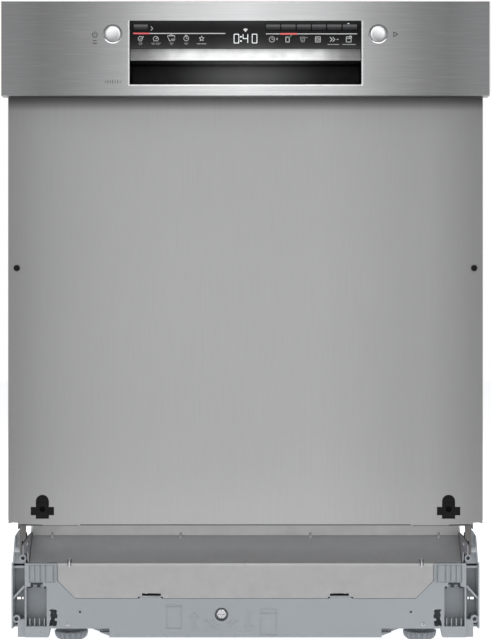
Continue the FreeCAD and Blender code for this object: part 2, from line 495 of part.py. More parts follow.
# lower basket
LB = dict(x=248.0, y0=-150.0, y1=222.0, z=203.0, top=335.0)
zt = LB["z"] + WIRE
lower = [grid((0, 0, LB["z"]), (1, 0, 0), (0, 1, 0), spread(-LB["x"], LB["x"], 15), spread(LB["y0"], LB["y1"], 12), WIRE)]
ws = grid((LB["x"] + WIRE / 2 - WIRE, 0, 0), (0, 1, 0), (0, 0, 1), spread(LB["y0"], LB["y1"], 9),
          [zt + WIRE / 2, 250, 292, LB["top"] - WIRE / 2], WIRE)
lower += both(ws)
xin = LB["x"] - WIRE
for y, zz in ((LB["y0"] + WIRE / 2, [zt + WIRE / 2, 262, 318]), (LB["y1"] + WIRE / 2, [zt + WIRE / 2, 250, 292, LB["top"] - WIRE / 2])):
    lower.append(grid((0, y, 0), (1, 0, 0), (0, 0, 1), spread(-xin, xin, 15), zz, WIRE))
LW = (-58.0, 176.0)
for y in LW:
    br = fuse(box(246.8, 250.3, y - 9, y + 9, 176, LB["z"]), cyl((250.3, y, 184), (1, 0, 0), 3.0, 11.2),
              cyl((260.3, y, 184), (1, 0, 0), 4.6, 1.4))
    lower += both(br)
for y in (62.0, 112.0, 162.0):
    lower += [comb(-222, -22, y, zt, 66, 9), comb(22, 222, y, zt, 52, 9)]
lower += [comb(22, 222, -30, zt, 40, 7), comb(22, 222, -92, zt, 40, 7)]
FT_Y, FT_Z = -20.0, zt + 3.4
for x0 in (-231, -14):
    lower.append(cut(box(x0, x0 + 5, FT_Y - 5, FT_Y + 5, zt, zt + 8), cyl((x0 - 1, FT_Y, FT_Z), (1, 0, 0), 2.35, 8)))
# front grip on the basket
lower.append(cut(box(-70, 70, LB["y0"] - 10, LB["y0"] - WIRE / 2, 290, 318), box(-60, 60, LB["y0"] - 8.5, LB["y0"] - 1, 288, 312)))
put("lower_basket", lower)
ft = cyl((-232, FT_Y, FT_Z), (1, 0, 0), 2.3, 224)
ft = fuse(ft, *[box(x - 1.4, x + 1.4, FT_Y - 1.4, FT_Y + 1.4, FT_Z + 1, FT_Z + 66) for x in spread(-218, -22, 9)])
put("folding_tines", ft)
for nm, y in zip(("lower_wheels_front", "lower_wheels_rear"), LW):
    wl = cut(cyl((250.8, y, 184), (1, 0, 0), 14.0, 9.0), cyl((250, y, 184), (1, 0, 0), 3.05, 11),
             cyl((256.3, y, 184), (1, 0, 0), 10.5, 4))
    wl = fuse(wl, cut(cyl((256.3, y, 184), (1, 0, 0), 5.6, 3.5), cyl((250, y, 184), (1, 0, 0), 3.05, 11)))
    wl = rnd(wl, 0.8, lambda e: e.BoundBox.YLength > 27)
    put(nm, both(wl))

# upper basket with its inner runners, spray feed tube and docking nozzle
UB = dict(x=236.0, y0=-178.0, y1=208.0, z=490.0, top=598.0)
zt2 = UB["z"] + WIRE
upper = [grid((0, 0, UB["z"]), (1, 0, 0), (0, 1, 0), spread(-UB["x"], UB["x"], 15), spread(UB["y0"], UB["y1"], 12), WIRE)]
ws = grid((UB["x"] - WIRE / 2, 0, 0), (0, 1, 0), (0, 0, 1), spread(UB["y0"], UB["y1"], 9),
          [zt2 + WIRE / 2, 530, 562, UB["top"] - WIRE / 2], WIRE)
upper += both(ws)
xin = UB["x"] - WIRE
for y, zz in ((UB["y0"] + WIRE / 2, [zt2 + WIRE / 2, 530, 566]), (UB["y1"] + WIRE / 2, [zt2 + WIRE / 2, 530, 562, UB["top"] - WIRE / 2])):
    upper.append(grid((0, y, 0), (1, 0, 0), (0, 0, 1), spread(-xin, xin, 15), zz, WIRE))
for y in (-110.0, -40.0, 40.0, 110.0, 170.0):
    upper += [comb(-214, -118, y, zt2, 48, 5), comb(118, 214, y, zt2, 48, 5)]
run = fuse(box(262, 269.6, -184, 196, 553.5, 566.5), box(UB["x"] + WIRE / 2, 262, -128, -98, 553.5, 566.5),
           box(UB["x"] + WIRE / 2, 262, 112, 142, 553.5, 566.5))
upper += both(run)
feed = fuse(box(-9, 9, 12, 232, 483.2, 490), cyl((0, ARM_Y, 482.6), (0, 0, 1), 22, 7.4), cyl((0, ARM_Y, 473.6), (0, 0, 1), 9.93, 10),
            box(-9, 9, 221, 232, 470, 484), cyl((0, 232, 476), (0, 1, 0), 8, 3.2))
upper.append(feed)
upper.append(cut(box(-70, 70, UB["y0"] - 8, UB["y0"] - WIRE / 2, 545, 566), box(-60, 60, UB["y0"] - 6.5, UB["y0"] - 1, 543, 561)))
put("upper_basket", upper)
sl = cut(box(266.2, 273.2, -186, 236, 549.4, 570.6), box(265, 270, -187, 230, 553.0, 567.0))
put("upper_slides", both(sl))

# cutlery drawer: slim tray with dividers and side tongues in its runners
cd = [grid((0, 0, 712), (1, 0, 0), (0, 1, 0), spread(-258, 258, 22), spread(-182, 212, 17), 2.6, 3.0)]
ring = cut(box(-262, 262, -185, 215, 714.6, 744), box(-259, 259, -182, 212, 710, 750))
ring = cut(ring, box(-60, 60, -190, -180, 722, 738))
ring = fuse(ring, *both(box(262, 273.2, -183, 210, 723.4, 738.6)))
cd.append(ring)
cd += [box(x - 1, x + 1, -182, 212, 714.6, 730) for x in (-150, -52, 52, 150)]
put("cutlery_drawer", cd)

print(len(SAVED), "nodes")
assert len(SAVED) <= 60 and len(set(SAVED)) == len(SAVED)
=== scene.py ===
import bpy, bmesh, json, math, random
from mathutils import Vector, Matrix
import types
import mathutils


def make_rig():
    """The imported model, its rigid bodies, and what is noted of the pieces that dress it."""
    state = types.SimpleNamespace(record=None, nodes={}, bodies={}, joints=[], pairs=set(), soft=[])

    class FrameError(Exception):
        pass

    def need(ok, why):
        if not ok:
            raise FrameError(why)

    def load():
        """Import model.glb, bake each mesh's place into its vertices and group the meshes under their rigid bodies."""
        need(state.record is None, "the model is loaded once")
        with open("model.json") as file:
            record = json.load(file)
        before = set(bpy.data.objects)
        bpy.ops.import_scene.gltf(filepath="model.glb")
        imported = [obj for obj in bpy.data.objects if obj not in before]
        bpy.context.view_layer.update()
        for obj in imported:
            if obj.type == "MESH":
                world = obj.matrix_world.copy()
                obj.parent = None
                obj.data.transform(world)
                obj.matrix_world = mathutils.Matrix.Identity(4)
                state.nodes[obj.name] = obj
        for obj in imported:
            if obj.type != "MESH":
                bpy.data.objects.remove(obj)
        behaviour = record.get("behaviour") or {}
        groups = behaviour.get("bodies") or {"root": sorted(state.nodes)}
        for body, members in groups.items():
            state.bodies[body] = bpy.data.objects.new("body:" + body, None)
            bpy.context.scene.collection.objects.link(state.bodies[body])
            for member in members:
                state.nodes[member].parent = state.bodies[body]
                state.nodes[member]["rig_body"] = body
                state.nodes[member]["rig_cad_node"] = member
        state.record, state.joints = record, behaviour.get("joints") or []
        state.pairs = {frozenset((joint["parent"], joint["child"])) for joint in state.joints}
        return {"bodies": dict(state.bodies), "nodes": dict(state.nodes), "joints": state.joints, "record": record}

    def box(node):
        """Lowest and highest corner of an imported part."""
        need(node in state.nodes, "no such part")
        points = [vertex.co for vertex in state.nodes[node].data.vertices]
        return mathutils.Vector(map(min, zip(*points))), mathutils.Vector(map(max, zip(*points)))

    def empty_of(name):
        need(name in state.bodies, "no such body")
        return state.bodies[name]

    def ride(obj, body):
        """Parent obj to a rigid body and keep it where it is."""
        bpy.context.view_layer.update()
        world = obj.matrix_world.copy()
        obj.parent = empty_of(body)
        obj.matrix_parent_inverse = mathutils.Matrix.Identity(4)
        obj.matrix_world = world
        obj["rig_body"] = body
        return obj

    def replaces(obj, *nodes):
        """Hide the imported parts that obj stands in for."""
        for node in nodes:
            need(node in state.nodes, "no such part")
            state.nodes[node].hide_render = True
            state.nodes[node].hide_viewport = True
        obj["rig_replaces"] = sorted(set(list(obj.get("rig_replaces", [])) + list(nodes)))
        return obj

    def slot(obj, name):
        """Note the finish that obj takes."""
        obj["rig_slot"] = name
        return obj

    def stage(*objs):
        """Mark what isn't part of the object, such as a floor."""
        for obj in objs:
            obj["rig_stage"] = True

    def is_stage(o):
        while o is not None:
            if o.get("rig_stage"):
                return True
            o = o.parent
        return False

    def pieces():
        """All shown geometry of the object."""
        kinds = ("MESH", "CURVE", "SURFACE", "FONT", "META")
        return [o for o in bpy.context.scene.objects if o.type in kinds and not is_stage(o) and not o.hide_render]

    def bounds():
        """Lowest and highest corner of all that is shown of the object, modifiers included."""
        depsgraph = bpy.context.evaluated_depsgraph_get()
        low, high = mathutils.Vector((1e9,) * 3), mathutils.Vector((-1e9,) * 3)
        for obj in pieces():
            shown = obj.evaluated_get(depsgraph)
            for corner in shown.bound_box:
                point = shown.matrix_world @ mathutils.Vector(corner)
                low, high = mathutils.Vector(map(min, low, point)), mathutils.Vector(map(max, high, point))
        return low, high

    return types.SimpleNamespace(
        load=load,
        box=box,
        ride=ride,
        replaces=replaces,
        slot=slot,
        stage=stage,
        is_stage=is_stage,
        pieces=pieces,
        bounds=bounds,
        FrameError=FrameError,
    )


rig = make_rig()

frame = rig.load()
CAD_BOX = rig.bounds()
random.seed(7)
N = frame["nodes"]
MM = 0.001

# ------------------------------------------------------------------ helpers
def lin(c):
    """sRGB 0..255 to linear."""
    c = c / 255.0
    return c / 12.92 if c <= 0.04045 else ((c + 0.055) / 1.055) ** 2.4


def rgb(r, g, b):
    return (lin(r), lin(g), lin(b), 1.0)


class Mat:
    def __init__(self, name, metallic=0.0, rough=0.5, spec=0.5, coat=0.0, coat_rough=0.05, ior=1.45):
        self.m = bpy.data.materials.new(name)
        self.m.use_nodes = True
        self.nt = self.m.node_tree
        self.nt.nodes.clear()
        self.out = self.nt.nodes.new("ShaderNodeOutputMaterial")
        self.b = self.nt.nodes.new("ShaderNodeBsdfPrincipled")
        self.nt.links.new(self.b.outputs[0], self.out.inputs[0])
        self.b.inputs["Metallic"].default_value = metallic
        self.b.inputs["Roughness"].default_value = rough
        self.b.inputs["Specular IOR Level"].default_value = spec
        self.b.inputs["IOR"].default_value = ior
        self.b.inputs["Coat Weight"].default_value = coat
        self.b.inputs["Coat Roughness"].default_value = coat_rough
        self.tc = self.nt.nodes.new("ShaderNodeTexCoord")
        self.bump_last = None

    def link(self, a, b):
        self.nt.links.new(a, b)

    def coord(self, scale=(1, 1, 1), rot=(0, 0, 0)):
        mp = self.nt.nodes.new("ShaderNodeMapping")
        mp.inputs["Scale"].default_value = scale
        mp.inputs["Rotation"].default_value = rot
        self.link(self.tc.outputs["Object"], mp.inputs["Vector"])
        return mp.outputs[0]

    def noise(self, scale, detail=3.0, vec=None, rough=0.5, dist=0.0):
        n = self.nt.nodes.new("ShaderNodeTexNoise")
        n.inputs["Scale"].default_value = scale
        n.inputs["Detail"].default_value = detail
        n.inputs["Roughness"].default_value = rough
        n.inputs["Distortion"].default_value = dist
        self.link(vec if vec is not None else self.tc.outputs["Object"], n.inputs["Vector"])
        return n.outputs["Fac"]

    def voronoi(self, scale, vec=None, feature="F1"):
        n = self.nt.nodes.new("ShaderNodeTexVoronoi")
        n.feature = feature
        n.inputs["Scale"].default_value = scale
        self.link(vec if vec is not None else self.tc.outputs["Object"], n.inputs["Vector"])
        return n.outputs["Distance"]

    def ramp(self, fac, stops):
        r = self.nt.nodes.new("ShaderNodeValToRGB")
        e = r.color_ramp.elements
        while len(e) > 1:
            e.remove(e[-1])
        e[0].position, e[0].color = stops[0]
        for p, c in stops[1:]:
            k = e.new(p)
            k.color = c
        self.link(fac, r.inputs[0])
        return r.outputs[0]

    def mul(self, a, b):
        n = self.nt.nodes.new("ShaderNodeMix")
        n.data_type = "RGBA"
        n.blend_type = "MULTIPLY"
        n.inputs[0].default_value = 1.0
        self.link(a, n.inputs[6])
        self.link(b, n.inputs[7])
        return n.outputs[2]

    def maprange(self, fac, a0, a1, b0, b1):
        n = self.nt.nodes.new("ShaderNodeMapRange")
        for k, v in zip(("From Min", "From Max", "To Min", "To Max"), (a0, a1, b0, b1)):
            n.inputs[k].default_value = v
        self.link(fac, n.inputs["Value"])
        return n.outputs[0]

    def math(self, op, a, b=None, val=None):
        n = self.nt.nodes.new("ShaderNodeMath")
        n.operation = op
        self.link(a, n.inputs[0])
        if b is not None:
            self.link(b, n.inputs[1])
        if val is not None:
            n.inputs[1].default_value = val
        return n.outputs[0]

    def mix(self, fac, a, b, mode="MIX"):
        n = self.nt.nodes.new("ShaderNodeMix")
        n.data_type = "RGBA"
        n.blend_type = mode
        if isinstance(fac, float):
            n.inputs[0].default_value = fac
        else:
            self.link(fac, n.inputs[0])
        for i, v in ((6, a), (7, b)):
            if isinstance(v, tuple):
                n.inputs[i].default_value = v
            else:
                self.link(v, n.inputs[i])
        return n.outputs[2]

    def axis(self, i):
        s = self.nt.nodes.new("ShaderNodeSeparateXYZ")
        self.link(self.tc.outputs["Object"], s.inputs[0])
        return s.outputs[i]

    def color(self, sock):
        self.link(sock, self.b.inputs["Base Color"])

    def rough(self, sock):
        self.link(sock, self.b.inputs["Roughness"])

    def bump(self, fac, strength, dist):
        n = self.nt.nodes.new("ShaderNodeBump")
        n.inputs["Strength"].default_value = strength
        n.inputs["Distance"].default_value = dist
        self.link(fac, n.inputs["Height"])
        if self.bump_last is not None:
            self.link(self.bump_last, n.inputs["Normal"])
        self.bump_last = n.outputs[0]
        self.link(self.bump_last, self.b.inputs["Normal"])


def sc(c, k):
    return (min(c[0] * k, 1), min(c[1] * k, 1), min(c[2] * k, 1), 1)


def plastic(name, col, rough=0.5, var=0.05, grain=900, bump=0.12, scuff=0.06, coat=0.0, spec=0.5):
    m = Mat(name, 0.0, rough, coat=coat, spec=spec)
    cloud = m.noise(6.0, 4)
    base = m.ramp(cloud, [(0.3, sc(col, 1 - var)), (0.7, sc(col, 1 + var))])
    speck = m.noise(grain * 0.6, 2)
    base = m.mix(m.maprange(speck, 0.35, 0.75, 0.0, 0.35), base, sc(col, 1 - 2.2 * var))
    m.color(base)
    m.rough(m.maprange(m.noise(45, 5), 0.3, 0.7, rough - scuff, rough + scuff))
    m.bump(m.noise(grain, 2), bump, 0.0002)
    m.bump(m.noise(9, 2), 0.03, 0.002)
    return m.m


def brushed(name, col, rough=0.3, stretch=(2, 500, 500), var=0.10, metallic=1.0, bump=0.06, cloud=0.06):
    m = Mat(name, metallic, rough)
    v = m.coord(stretch)
    g = m.noise(1.0, 6, v, 0.6)
    g2 = m.noise(3.1, 4, v, 0.6)
    base = m.ramp(g, [(0.25, sc(col, 1 - var)), (0.75, sc(col, 1 + var))])
    base = m.mix(m.maprange(m.noise(3.0, 2), 0.3, 0.7, 0.0, 1.0), base, sc(col, 1 - cloud))
    m.color(base)
    m.rough(m.maprange(g2, 0.3, 0.7, rough - 0.05, rough + 0.07))
    m.bump(g, bump, 0.0001)
    return m.m


def assign(obj, mat):
    obj.data.materials.clear()
    obj.data.materials.append(mat)


def link(o):
    bpy.context.scene.collection.objects.link(o)
    return o


def mesh_obj(name, verts, faces, mat, body, smooth=False, slot=None):
    me = bpy.data.meshes.new(name)
    me.from_pydata([tuple(v) for v in verts], [], faces)
    me.validate()
    me.update()
    o = link(bpy.data.objects.new(name, me))
    if smooth:
        for p in me.polygons:
            p.use_smooth = True
    assign(o, mat)
    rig.ride(o, body)
    if slot:
        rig.slot(o, slot)
    return o


def bm_obj(name, bm, mat, body, smooth_angle=None, slot=None):
    bmesh.ops.recalc_face_normals(bm, faces=bm.faces)
    me = bpy.data.meshes.new(name)
    bm.to_mesh(me)
    bm.free()
    o = link(bpy.data.objects.new(name, me))
    if smooth_angle is not None:
        me.shade_smooth() if hasattr(me, "shade_smooth") else None
        me.set_sharp_from_angle(angle=math.radians(smooth_angle))
    assign(o, mat)
    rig.ride(o, body)
    if slot:
        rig.slot(o, slot)
    return o


def refined(node, mat, width=0.0006, seg=2, angle=30, body=None, name=None, merge=1e-6):
    """A copy of a CAD node's mesh with softened edges that stands for it."""
    src = N[node]
    bm = bmesh.new()
    bm.from_mesh(src.data)
    bmesh.ops.remove_doubles(bm, verts=bm.verts, dist=merge)
    bmesh.ops.dissolve_limit(bm, angle_limit=math.radians(0.6), verts=bm.verts, edges=bm.edges)
    round_faces = {f for f in bm.faces if f.calc_area() < 4e-4 and len(f.verts) <= 8 and
                   any(len(e.link_faces) == 2 and 0.012 < e.calc_face_angle(0) < 0.6 for e in f.edges)}
    for f in bm.faces:
        f.smooth = f in round_faces
    edges = [e for e in bm.edges if len(e.link_faces) == 2 and e.calc_face_angle(0) > math.radians(angle)]
    if width > 0 and edges:
        try:
            old = set(bm.faces)
            bmesh.ops.bevel(bm, geom=edges, offset=width, segments=seg, profile=0.6, affect="EDGES",
                            clamp_overlap=True, loop_slide=True)
            for f in bm.faces:
                if f not in old and f.calc_area() < 6e-4:
                    f.smooth = True
        except Exception:
            pass
    me = bpy.data.meshes.new(name or node + "_fine")
    bm.to_mesh(me)
    bm.free()
    if "custom_normal" in me.attributes:
        me.attributes.remove(me.attributes["custom_normal"])
    curved = [p.use_smooth for p in me.polygons]
    me.set_sharp_from_angle(angle=math.radians(38))
    me.polygons.foreach_set("use_smooth", curved)
    o = link(bpy.data.objects.new(name or node + "_fine", me))
    assign(o, mat)
    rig.ride(o, body or body_of[node])
    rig.replaces(o, node)
    return o


body_of = {n: b for b, ns in frame["record"]["behaviour"]["bodies"].items() for n in ns}


def tube_mesh(name, paths, radius, mat, body, sides=10, closed=False, slot=None):
    """Round wires along straight/curved paths, one mesh, ends capped."""
    bm = bmesh.new()
    for path in paths:
        pts = [Vector(p) for p in path]
        n = len(pts)
        rings = []
        prev = None
        for i, p in enumerate(pts):
            a = pts[i - 1] if i > 0 else (pts[-2] if closed else p)
            b = pts[i + 1] if i < n - 1 else (pts[1] if closed else p)
            d = (b - a).normalized()
            if prev is None:
                up = Vector((0, 0, 1)) if abs(d.z) < 0.9 else Vector((1, 0, 0))
                u = d.cross(up).normalized()
            else:
                u = (prev - d * prev.dot(d)).normalized()
            prev = u
            v = d.cross(u)
            k = 1.0
            if 0 < i < n - 1:
                c = (pts[i] - a).normalized().dot((b - pts[i]).normalized())
                k = 1.0 / max(math.sqrt((1 + c) / 2), 0.5)
            rings.append([bm.verts.new(p + (u * math.cos(t) + v * math.sin(t)) * radius * (k if k < 1.3 else 1.0))
                          for t in (2 * math.pi * j / sides for j in range(sides))])
        for r0, r1 in zip(rings, rings[1:]):
            for j in range(sides):
                bm.faces.new((r0[j], r0[(j + 1) % sides], r1[(j + 1) % sides], r1[j]))
        if not closed:
            bm.faces.new(list(reversed(rings[0])))
            bm.faces.new(rings[-1])
    return bm_obj(name, bm, mat, body, 40, slot)


def lathe(bm, prof, centre, axis, seg=48, a0=0.0):
    """Revolve (radius, along) points about an axis through centre."""
    ax = Vector(axis).normalized()
    up = Vector((0, 0, 1)) if abs(ax.z) < 0.9 else Vector((1, 0, 0))
    u = ax.cross(up).normalized()
    v = ax.cross(u)
    c = Vector(centre)
    rings = []
    for r, h in prof:
        if r < 1e-7:
            rings.append([bm.verts.new(c + ax * h)])
        else:
            rings.append([bm.verts.new(c + ax * h + (u * math.cos(a0 + 2 * math.pi * j / seg) + v * math.sin(a0 + 2 * math.pi * j / seg)) * r)
                          for j in range(seg)])
    for p, q in zip(rings, rings[1:]):
        for j in range(seg):
            k = (j + 1) % seg
            if len(p) == 1 and len(q) == 1:
                continue
            if len(p) == 1:
                bm.faces.new((p[0], q[k], q[j]))
            elif len(q) == 1:
                bm.faces.new((p[j], p[k], q[0]))
            else:
                bm.faces.new((p[j], p[k], q[k], q[j]))
    return rings


def bm_box(bm, x0, x1, y0, y1, z0, z1):
    vs = [bm.verts.new((x, y, z)) for z in (z0, z1) for y in (y0, y1) for x in (x0, x1)]
    for f in ((0, 2, 3, 1), (4, 5, 7, 6), (0, 1, 5, 4), (2, 6, 7, 3), (0, 4, 6, 2), (1, 3, 7, 5)):
        bm.faces.new([vs[i] for i in f])
    return vs


def bm_prism(bm, pts, d0, d1, plane="xz"):
    """Closed prism of an outline; plane xz is extruded along y and so on."""
    def P(a, b, d):
        return {"xz": (a, d, b), "yz": (d, a, b), "xy": (a, b, d)}[plane]
    lo = [bm.verts.new(P(a, b, d0)) for a, b in pts]
    hi = [bm.verts.new(P(a, b, d1)) for a, b in pts]
    n = len(pts)
    for i in range(n):
        bm.faces.new((lo[i], lo[(i + 1) % n], hi[(i + 1) % n], hi[i]))
    bm.faces.new(list(reversed(lo)))
    bm.faces.new(hi)


def soften(bm, width, seg=2, angle=30):
    e = [k for k in bm.edges if len(k.link_faces) == 2 and k.calc_face_angle(0) > math.radians(angle)]
    bmesh.ops.bevel(bm, geom=e, offset=width, segments=seg, profile=0.6, affect="EDGES", clamp_overlap=True)


def smooth01(t):
    t = max(0.0, min(1.0, t))
    return t * t * (3 - 2 * t)


def bead(u, v, u0, u1, v0, v1, depth, slope, rad):
    """Height of a pressed field with a rounded outline at (u, v)."""
    rad = min(rad, (u1 - u0) / 2, (v1 - v0) / 2)
    qx = abs(u - (u0 + u1) / 2) - (u1 - u0) / 2 + rad
    qy = abs(v - (v0 + v1) / 2) - (v1 - v0) / 2 + rad
    sd = math.hypot(max(qx, 0), max(qy, 0)) + min(max(qx, qy), 0) - rad
    return depth * smooth01(-sd / slope)


def lines(a, b, step, extra=()):
    """Grid coordinates from a to b, with the extra ones kept exactly."""
    ext = sorted({round(e, 6) for e in extra if a < e < b} | {a, b})
    out = []
    for p, q in zip(ext, ext[1:]):
        n = max(1, int(round((q - p) / step)))
        out += [p + (q - p) * i / n for i in range(n)]
    return out + [b]


def pressed(name, us, vs, h, pt, t, mat, body, keep=None, slot=None):
    """Sheet of thickness t over a grid, pressed to height h(u, v)."""
    bm = bmesh.new()
    top, bot = {}, {}
    nu, nv = len(us) - 1, len(vs) - 1
    used = [[keep is None or keep((us[i] + us[i + 1]) / 2, (vs[j] + vs[j + 1]) / 2) for j in range(nv)] for i in range(nu)]

    def vert(i, j):
        if (i, j) not in top:
            d = h(us[i], vs[j])
            top[i, j] = bm.verts.new(pt(us[i], vs[j], d))
            bot[i, j] = bm.verts.new(pt(us[i], vs[j], d - t))
        return top[i, j], bot[i, j]
    for i in range(nu):
        for j in range(nv):
            if not used[i][j]:
                continue
            q = [vert(i, j), vert(i + 1, j), vert(i + 1, j + 1), vert(i, j + 1)]
            bm.faces.new([k[0] for k in q])
            bm.faces.new([k[1] for k in reversed(q)])
            for di, dj, a, b in ((-1, 0, 3, 0), (1, 0, 1, 2), (0, -1, 0, 1), (0, 1, 2, 3)):
                ii, jj = i + di, j + dj
                if not (0 <= ii < nu and 0 <= jj < nv and used[ii][jj]):
                    bm.faces.new((q[a][0], q[a][1], q[b][1], q[b][0]))
    return bm_obj(name, bm, mat, body, 40, slot)


def ribbon(bm, pts, w, y0, y1, closed=False):
    """Raised stroke of width w along points (x, z), between y0 and y1."""
    n = len(pts)
    segs = list(zip(pts, pts[1:])) + ([(pts[-1], pts[0])] if closed else [])
    for (ax, az), (bx, bz) in segs:
        L = math.hypot(bx - ax, bz - az)
        if L < 1e-6:
            continue
        dx, dz = (bx - ax) / L, (bz - az) / L
        nx, nz = -dz * w / 2, dx * w / 2
        ex, ez = dx * w * 0.25, dz * w * 0.25
        bm_prism(bm, [(ax - ex + nx, az - ez + nz), (bx + ex + nx, bz + ez + nz), (bx + ex - nx, bz + ez - nz), (ax - ex - nx, az - ez - nz)],
                 y0, y1)


def arc(cx, cz, r, a0, a1, n=16):
    return [(cx + r * math.cos(math.radians(a0 + (a1 - a0) * i / n)), cz + r * math.sin(math.radians(a0 + (a1 - a0) * i / n)))
            for i in range(n + 1)]


SEG7 = {"0": "abcdef", "1": "bc", "2": "abged", "3": "abgcd", "4": "fgbc", "5": "afgcd", "6": "afgedc", "7": "abc", "8": "abcdefg", "9": "abcdfg"}


def digit(bm, ch, x, z, w, h, t, y0, y1):
    """Seven segment figure with its lower left corner at x, z."""
    g = t * 0.35
    p = {"a": ((x + g, z + h), (x + w - g, z + h)), "b": ((x + w, z + h - g), (x + w, z + h / 2 + g)),
         "c": ((x + w, z + h / 2 - g), (x + w, z + g)), "d": ((x + g, z), (x + w - g, z)),
         "e": ((x, z + h / 2 - g), (x, z + g)), "f": ((x, z + h - g), (x, z + h / 2 + g)),
         "g": ((x + g, z + h / 2), (x + w - g, z + h / 2))}
    for s in SEG7[ch]:
        ribbon(bm, list(p[s]), t, y0, y1)


def mm(pts):
    return [(a * MM, b * MM) for a, b in pts]

# ------------------------------------------------------------------ studio
scn = bpy.context.scene
scn.view_settings.view_transform = "Standard"
scn.view_settings.look = "None"
world = bpy.data.worlds.new("studio")
scn.world = world
world.use_nodes = True
wn = world.node_tree
wn.nodes.clear()
wo = wn.nodes.new("ShaderNodeOutputWorld")
wb = wn.nodes.new("ShaderNodeBackground")
wc = wn.nodes.new("ShaderNodeBackground")
wm = wn.nodes.new("ShaderNodeMixShader")
lp = wn.nodes.new("ShaderNodeLightPath")
wb.inputs[0].default_value = (0.93, 0.96, 1.0, 1)
wb.inputs[1].default_value = 0.30
wc.inputs[0].default_value = (1, 1, 1, 1)
wc.inputs[1].default_value = 1.0
wn.links.new(lp.outputs["Is Camera Ray"], wm.inputs[0])
wn.links.new(wb.outputs[0], wm.inputs[1])
wn.links.new(wc.outputs[0], wm.inputs[2])
wn.links.new(wm.outputs[0], wo.inputs[0])


def area(name, loc, target, sx, sy, power, col=(1, 1, 1)):
    d = bpy.data.lights.new(name, "AREA")
    d.shape = "RECTANGLE"
    d.size, d.size_y, d.energy, d.color = sx, sy, power, col
    o = link(bpy.data.objects.new(name, d))
    o.location = loc
    o.rotation_euler = (Vector(target) - Vector(loc)).to_track_quat("-Z", "Y").to_euler()
    return o


area("key_front", (0.0, -2.75, 0.95), (0, -0.28, 0.62), 0.62, 1.5, 9)
area("overhead", (0.0, -0.9, 3.0), (0, -0.1, 0.2), 3.4, 2.6, 40)
area("left_fill", (-2.6, -1.5, 1.3), (0, 0, 0.4), 1.4, 2.0, 11)
area("right_fill", (2.6, -1.5, 1.3), (0, 0, 0.4), 1.4, 2.0, 12)
area("rear_fill", (0.4, 3.0, 2.0), (0, 0, 0.4), 2.6, 2.0, 26)

cam = bpy.data.cameras.new("camera")
cam.lens = 92.07
cam.sensor_width = 36
cam.sensor_fit = "AUTO"
cam.clip_end = 100
co = link(bpy.data.objects.new("camera", cam))
co.location = (0, -2.2865, 0.4255)
co.rotation_euler = (math.radians(90), 0, 0)
scn.camera = co

fm = Mat("floor_paper", 0.0, 0.75)
fm.color(fm.ramp(fm.noise(1.3, 3), [(0.3, (0.90, 0.90, 0.90, 1)), (0.7, (0.93, 0.93, 0.93, 1))]))
fm.bump(fm.noise(60, 3), 0.02, 0.001)
fm.b.inputs["Emission Color"].default_value = (1, 1, 1, 1)
fm.b.inputs["Emission Strength"].default_value = 0.70
fl_bm = bmesh.new()
for x, y in ((-9, -9), (9, -9), (9, 9), (-9, 9)):
    fl_bm.verts.new((x, y, -0.0002))
fl_bm.faces.new(fl_bm.verts)
fme = bpy.data.meshes.new("floor")
fl_bm.to_mesh(fme)
fl_bm.free()
floor = link(bpy.data.objects.new("floor", fme))
assign(floor, fm.m)
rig.stage(floor)

def grey(*ps):
    return [(p, (k, k, k, 1)) for p, k in ps]


# ------------------------------------------------------------------ materials
base_col = rgb(155, 160, 164)
M_base = plastic("base_plastic_grained", base_col, 0.52, 0.04, 1100, 0.10)
M_inner = plastic("grey_moulded", rgb(150, 154, 158), 0.45, 0.04, 900, 0.08)
M_light = plastic("offwhite_moulded", rgb(218, 218, 214), 0.42, 0.03, 900, 0.08)
M_black = plastic("black_moulded", rgb(24, 24, 25), 0.50, 0.10, 1000, 0.15, spec=0.35)
M_clip = plastic("clip_black", rgb(9, 9, 10), 0.62, 0.10, 1000, 0.15, spec=0.2)
M_rubber = plastic("seal_rubber_fine", rgb(34, 34, 35), 0.72, 0.10, 700, 0.2)
M_coat = plastic("wire_coating", rgb(142, 145, 150), 0.34, 0.04, 500, 0.05, coat=0.2)
M_wheel = plastic("wheel_nylon", rgb(120, 124, 130), 0.40, 0.04, 700, 0.08)
M_screw = brushed("screw_zinc", (0.55, 0.55, 0.56, 1), 0.32, (300, 300, 300), 0.12)
M_spring = brushed("spring_wire", (0.30, 0.30, 0.31, 1), 0.38, (400, 60, 400), 0.15)
M_hinge = brushed("hinge_pressed", (0.13, 0.125, 0.12, 1), 0.42, (60, 220, 60), 0.18, bump=0.1)
M_tub = brushed("tub_stainless", (0.66, 0.67, 0.68, 1), 0.25, (30, 30, 500), 0.04, bump=0.04)
M_shiny = brushed("bright_steel", (0.78, 0.78, 0.78, 1), 0.16, (4, 300, 300), 0.04)


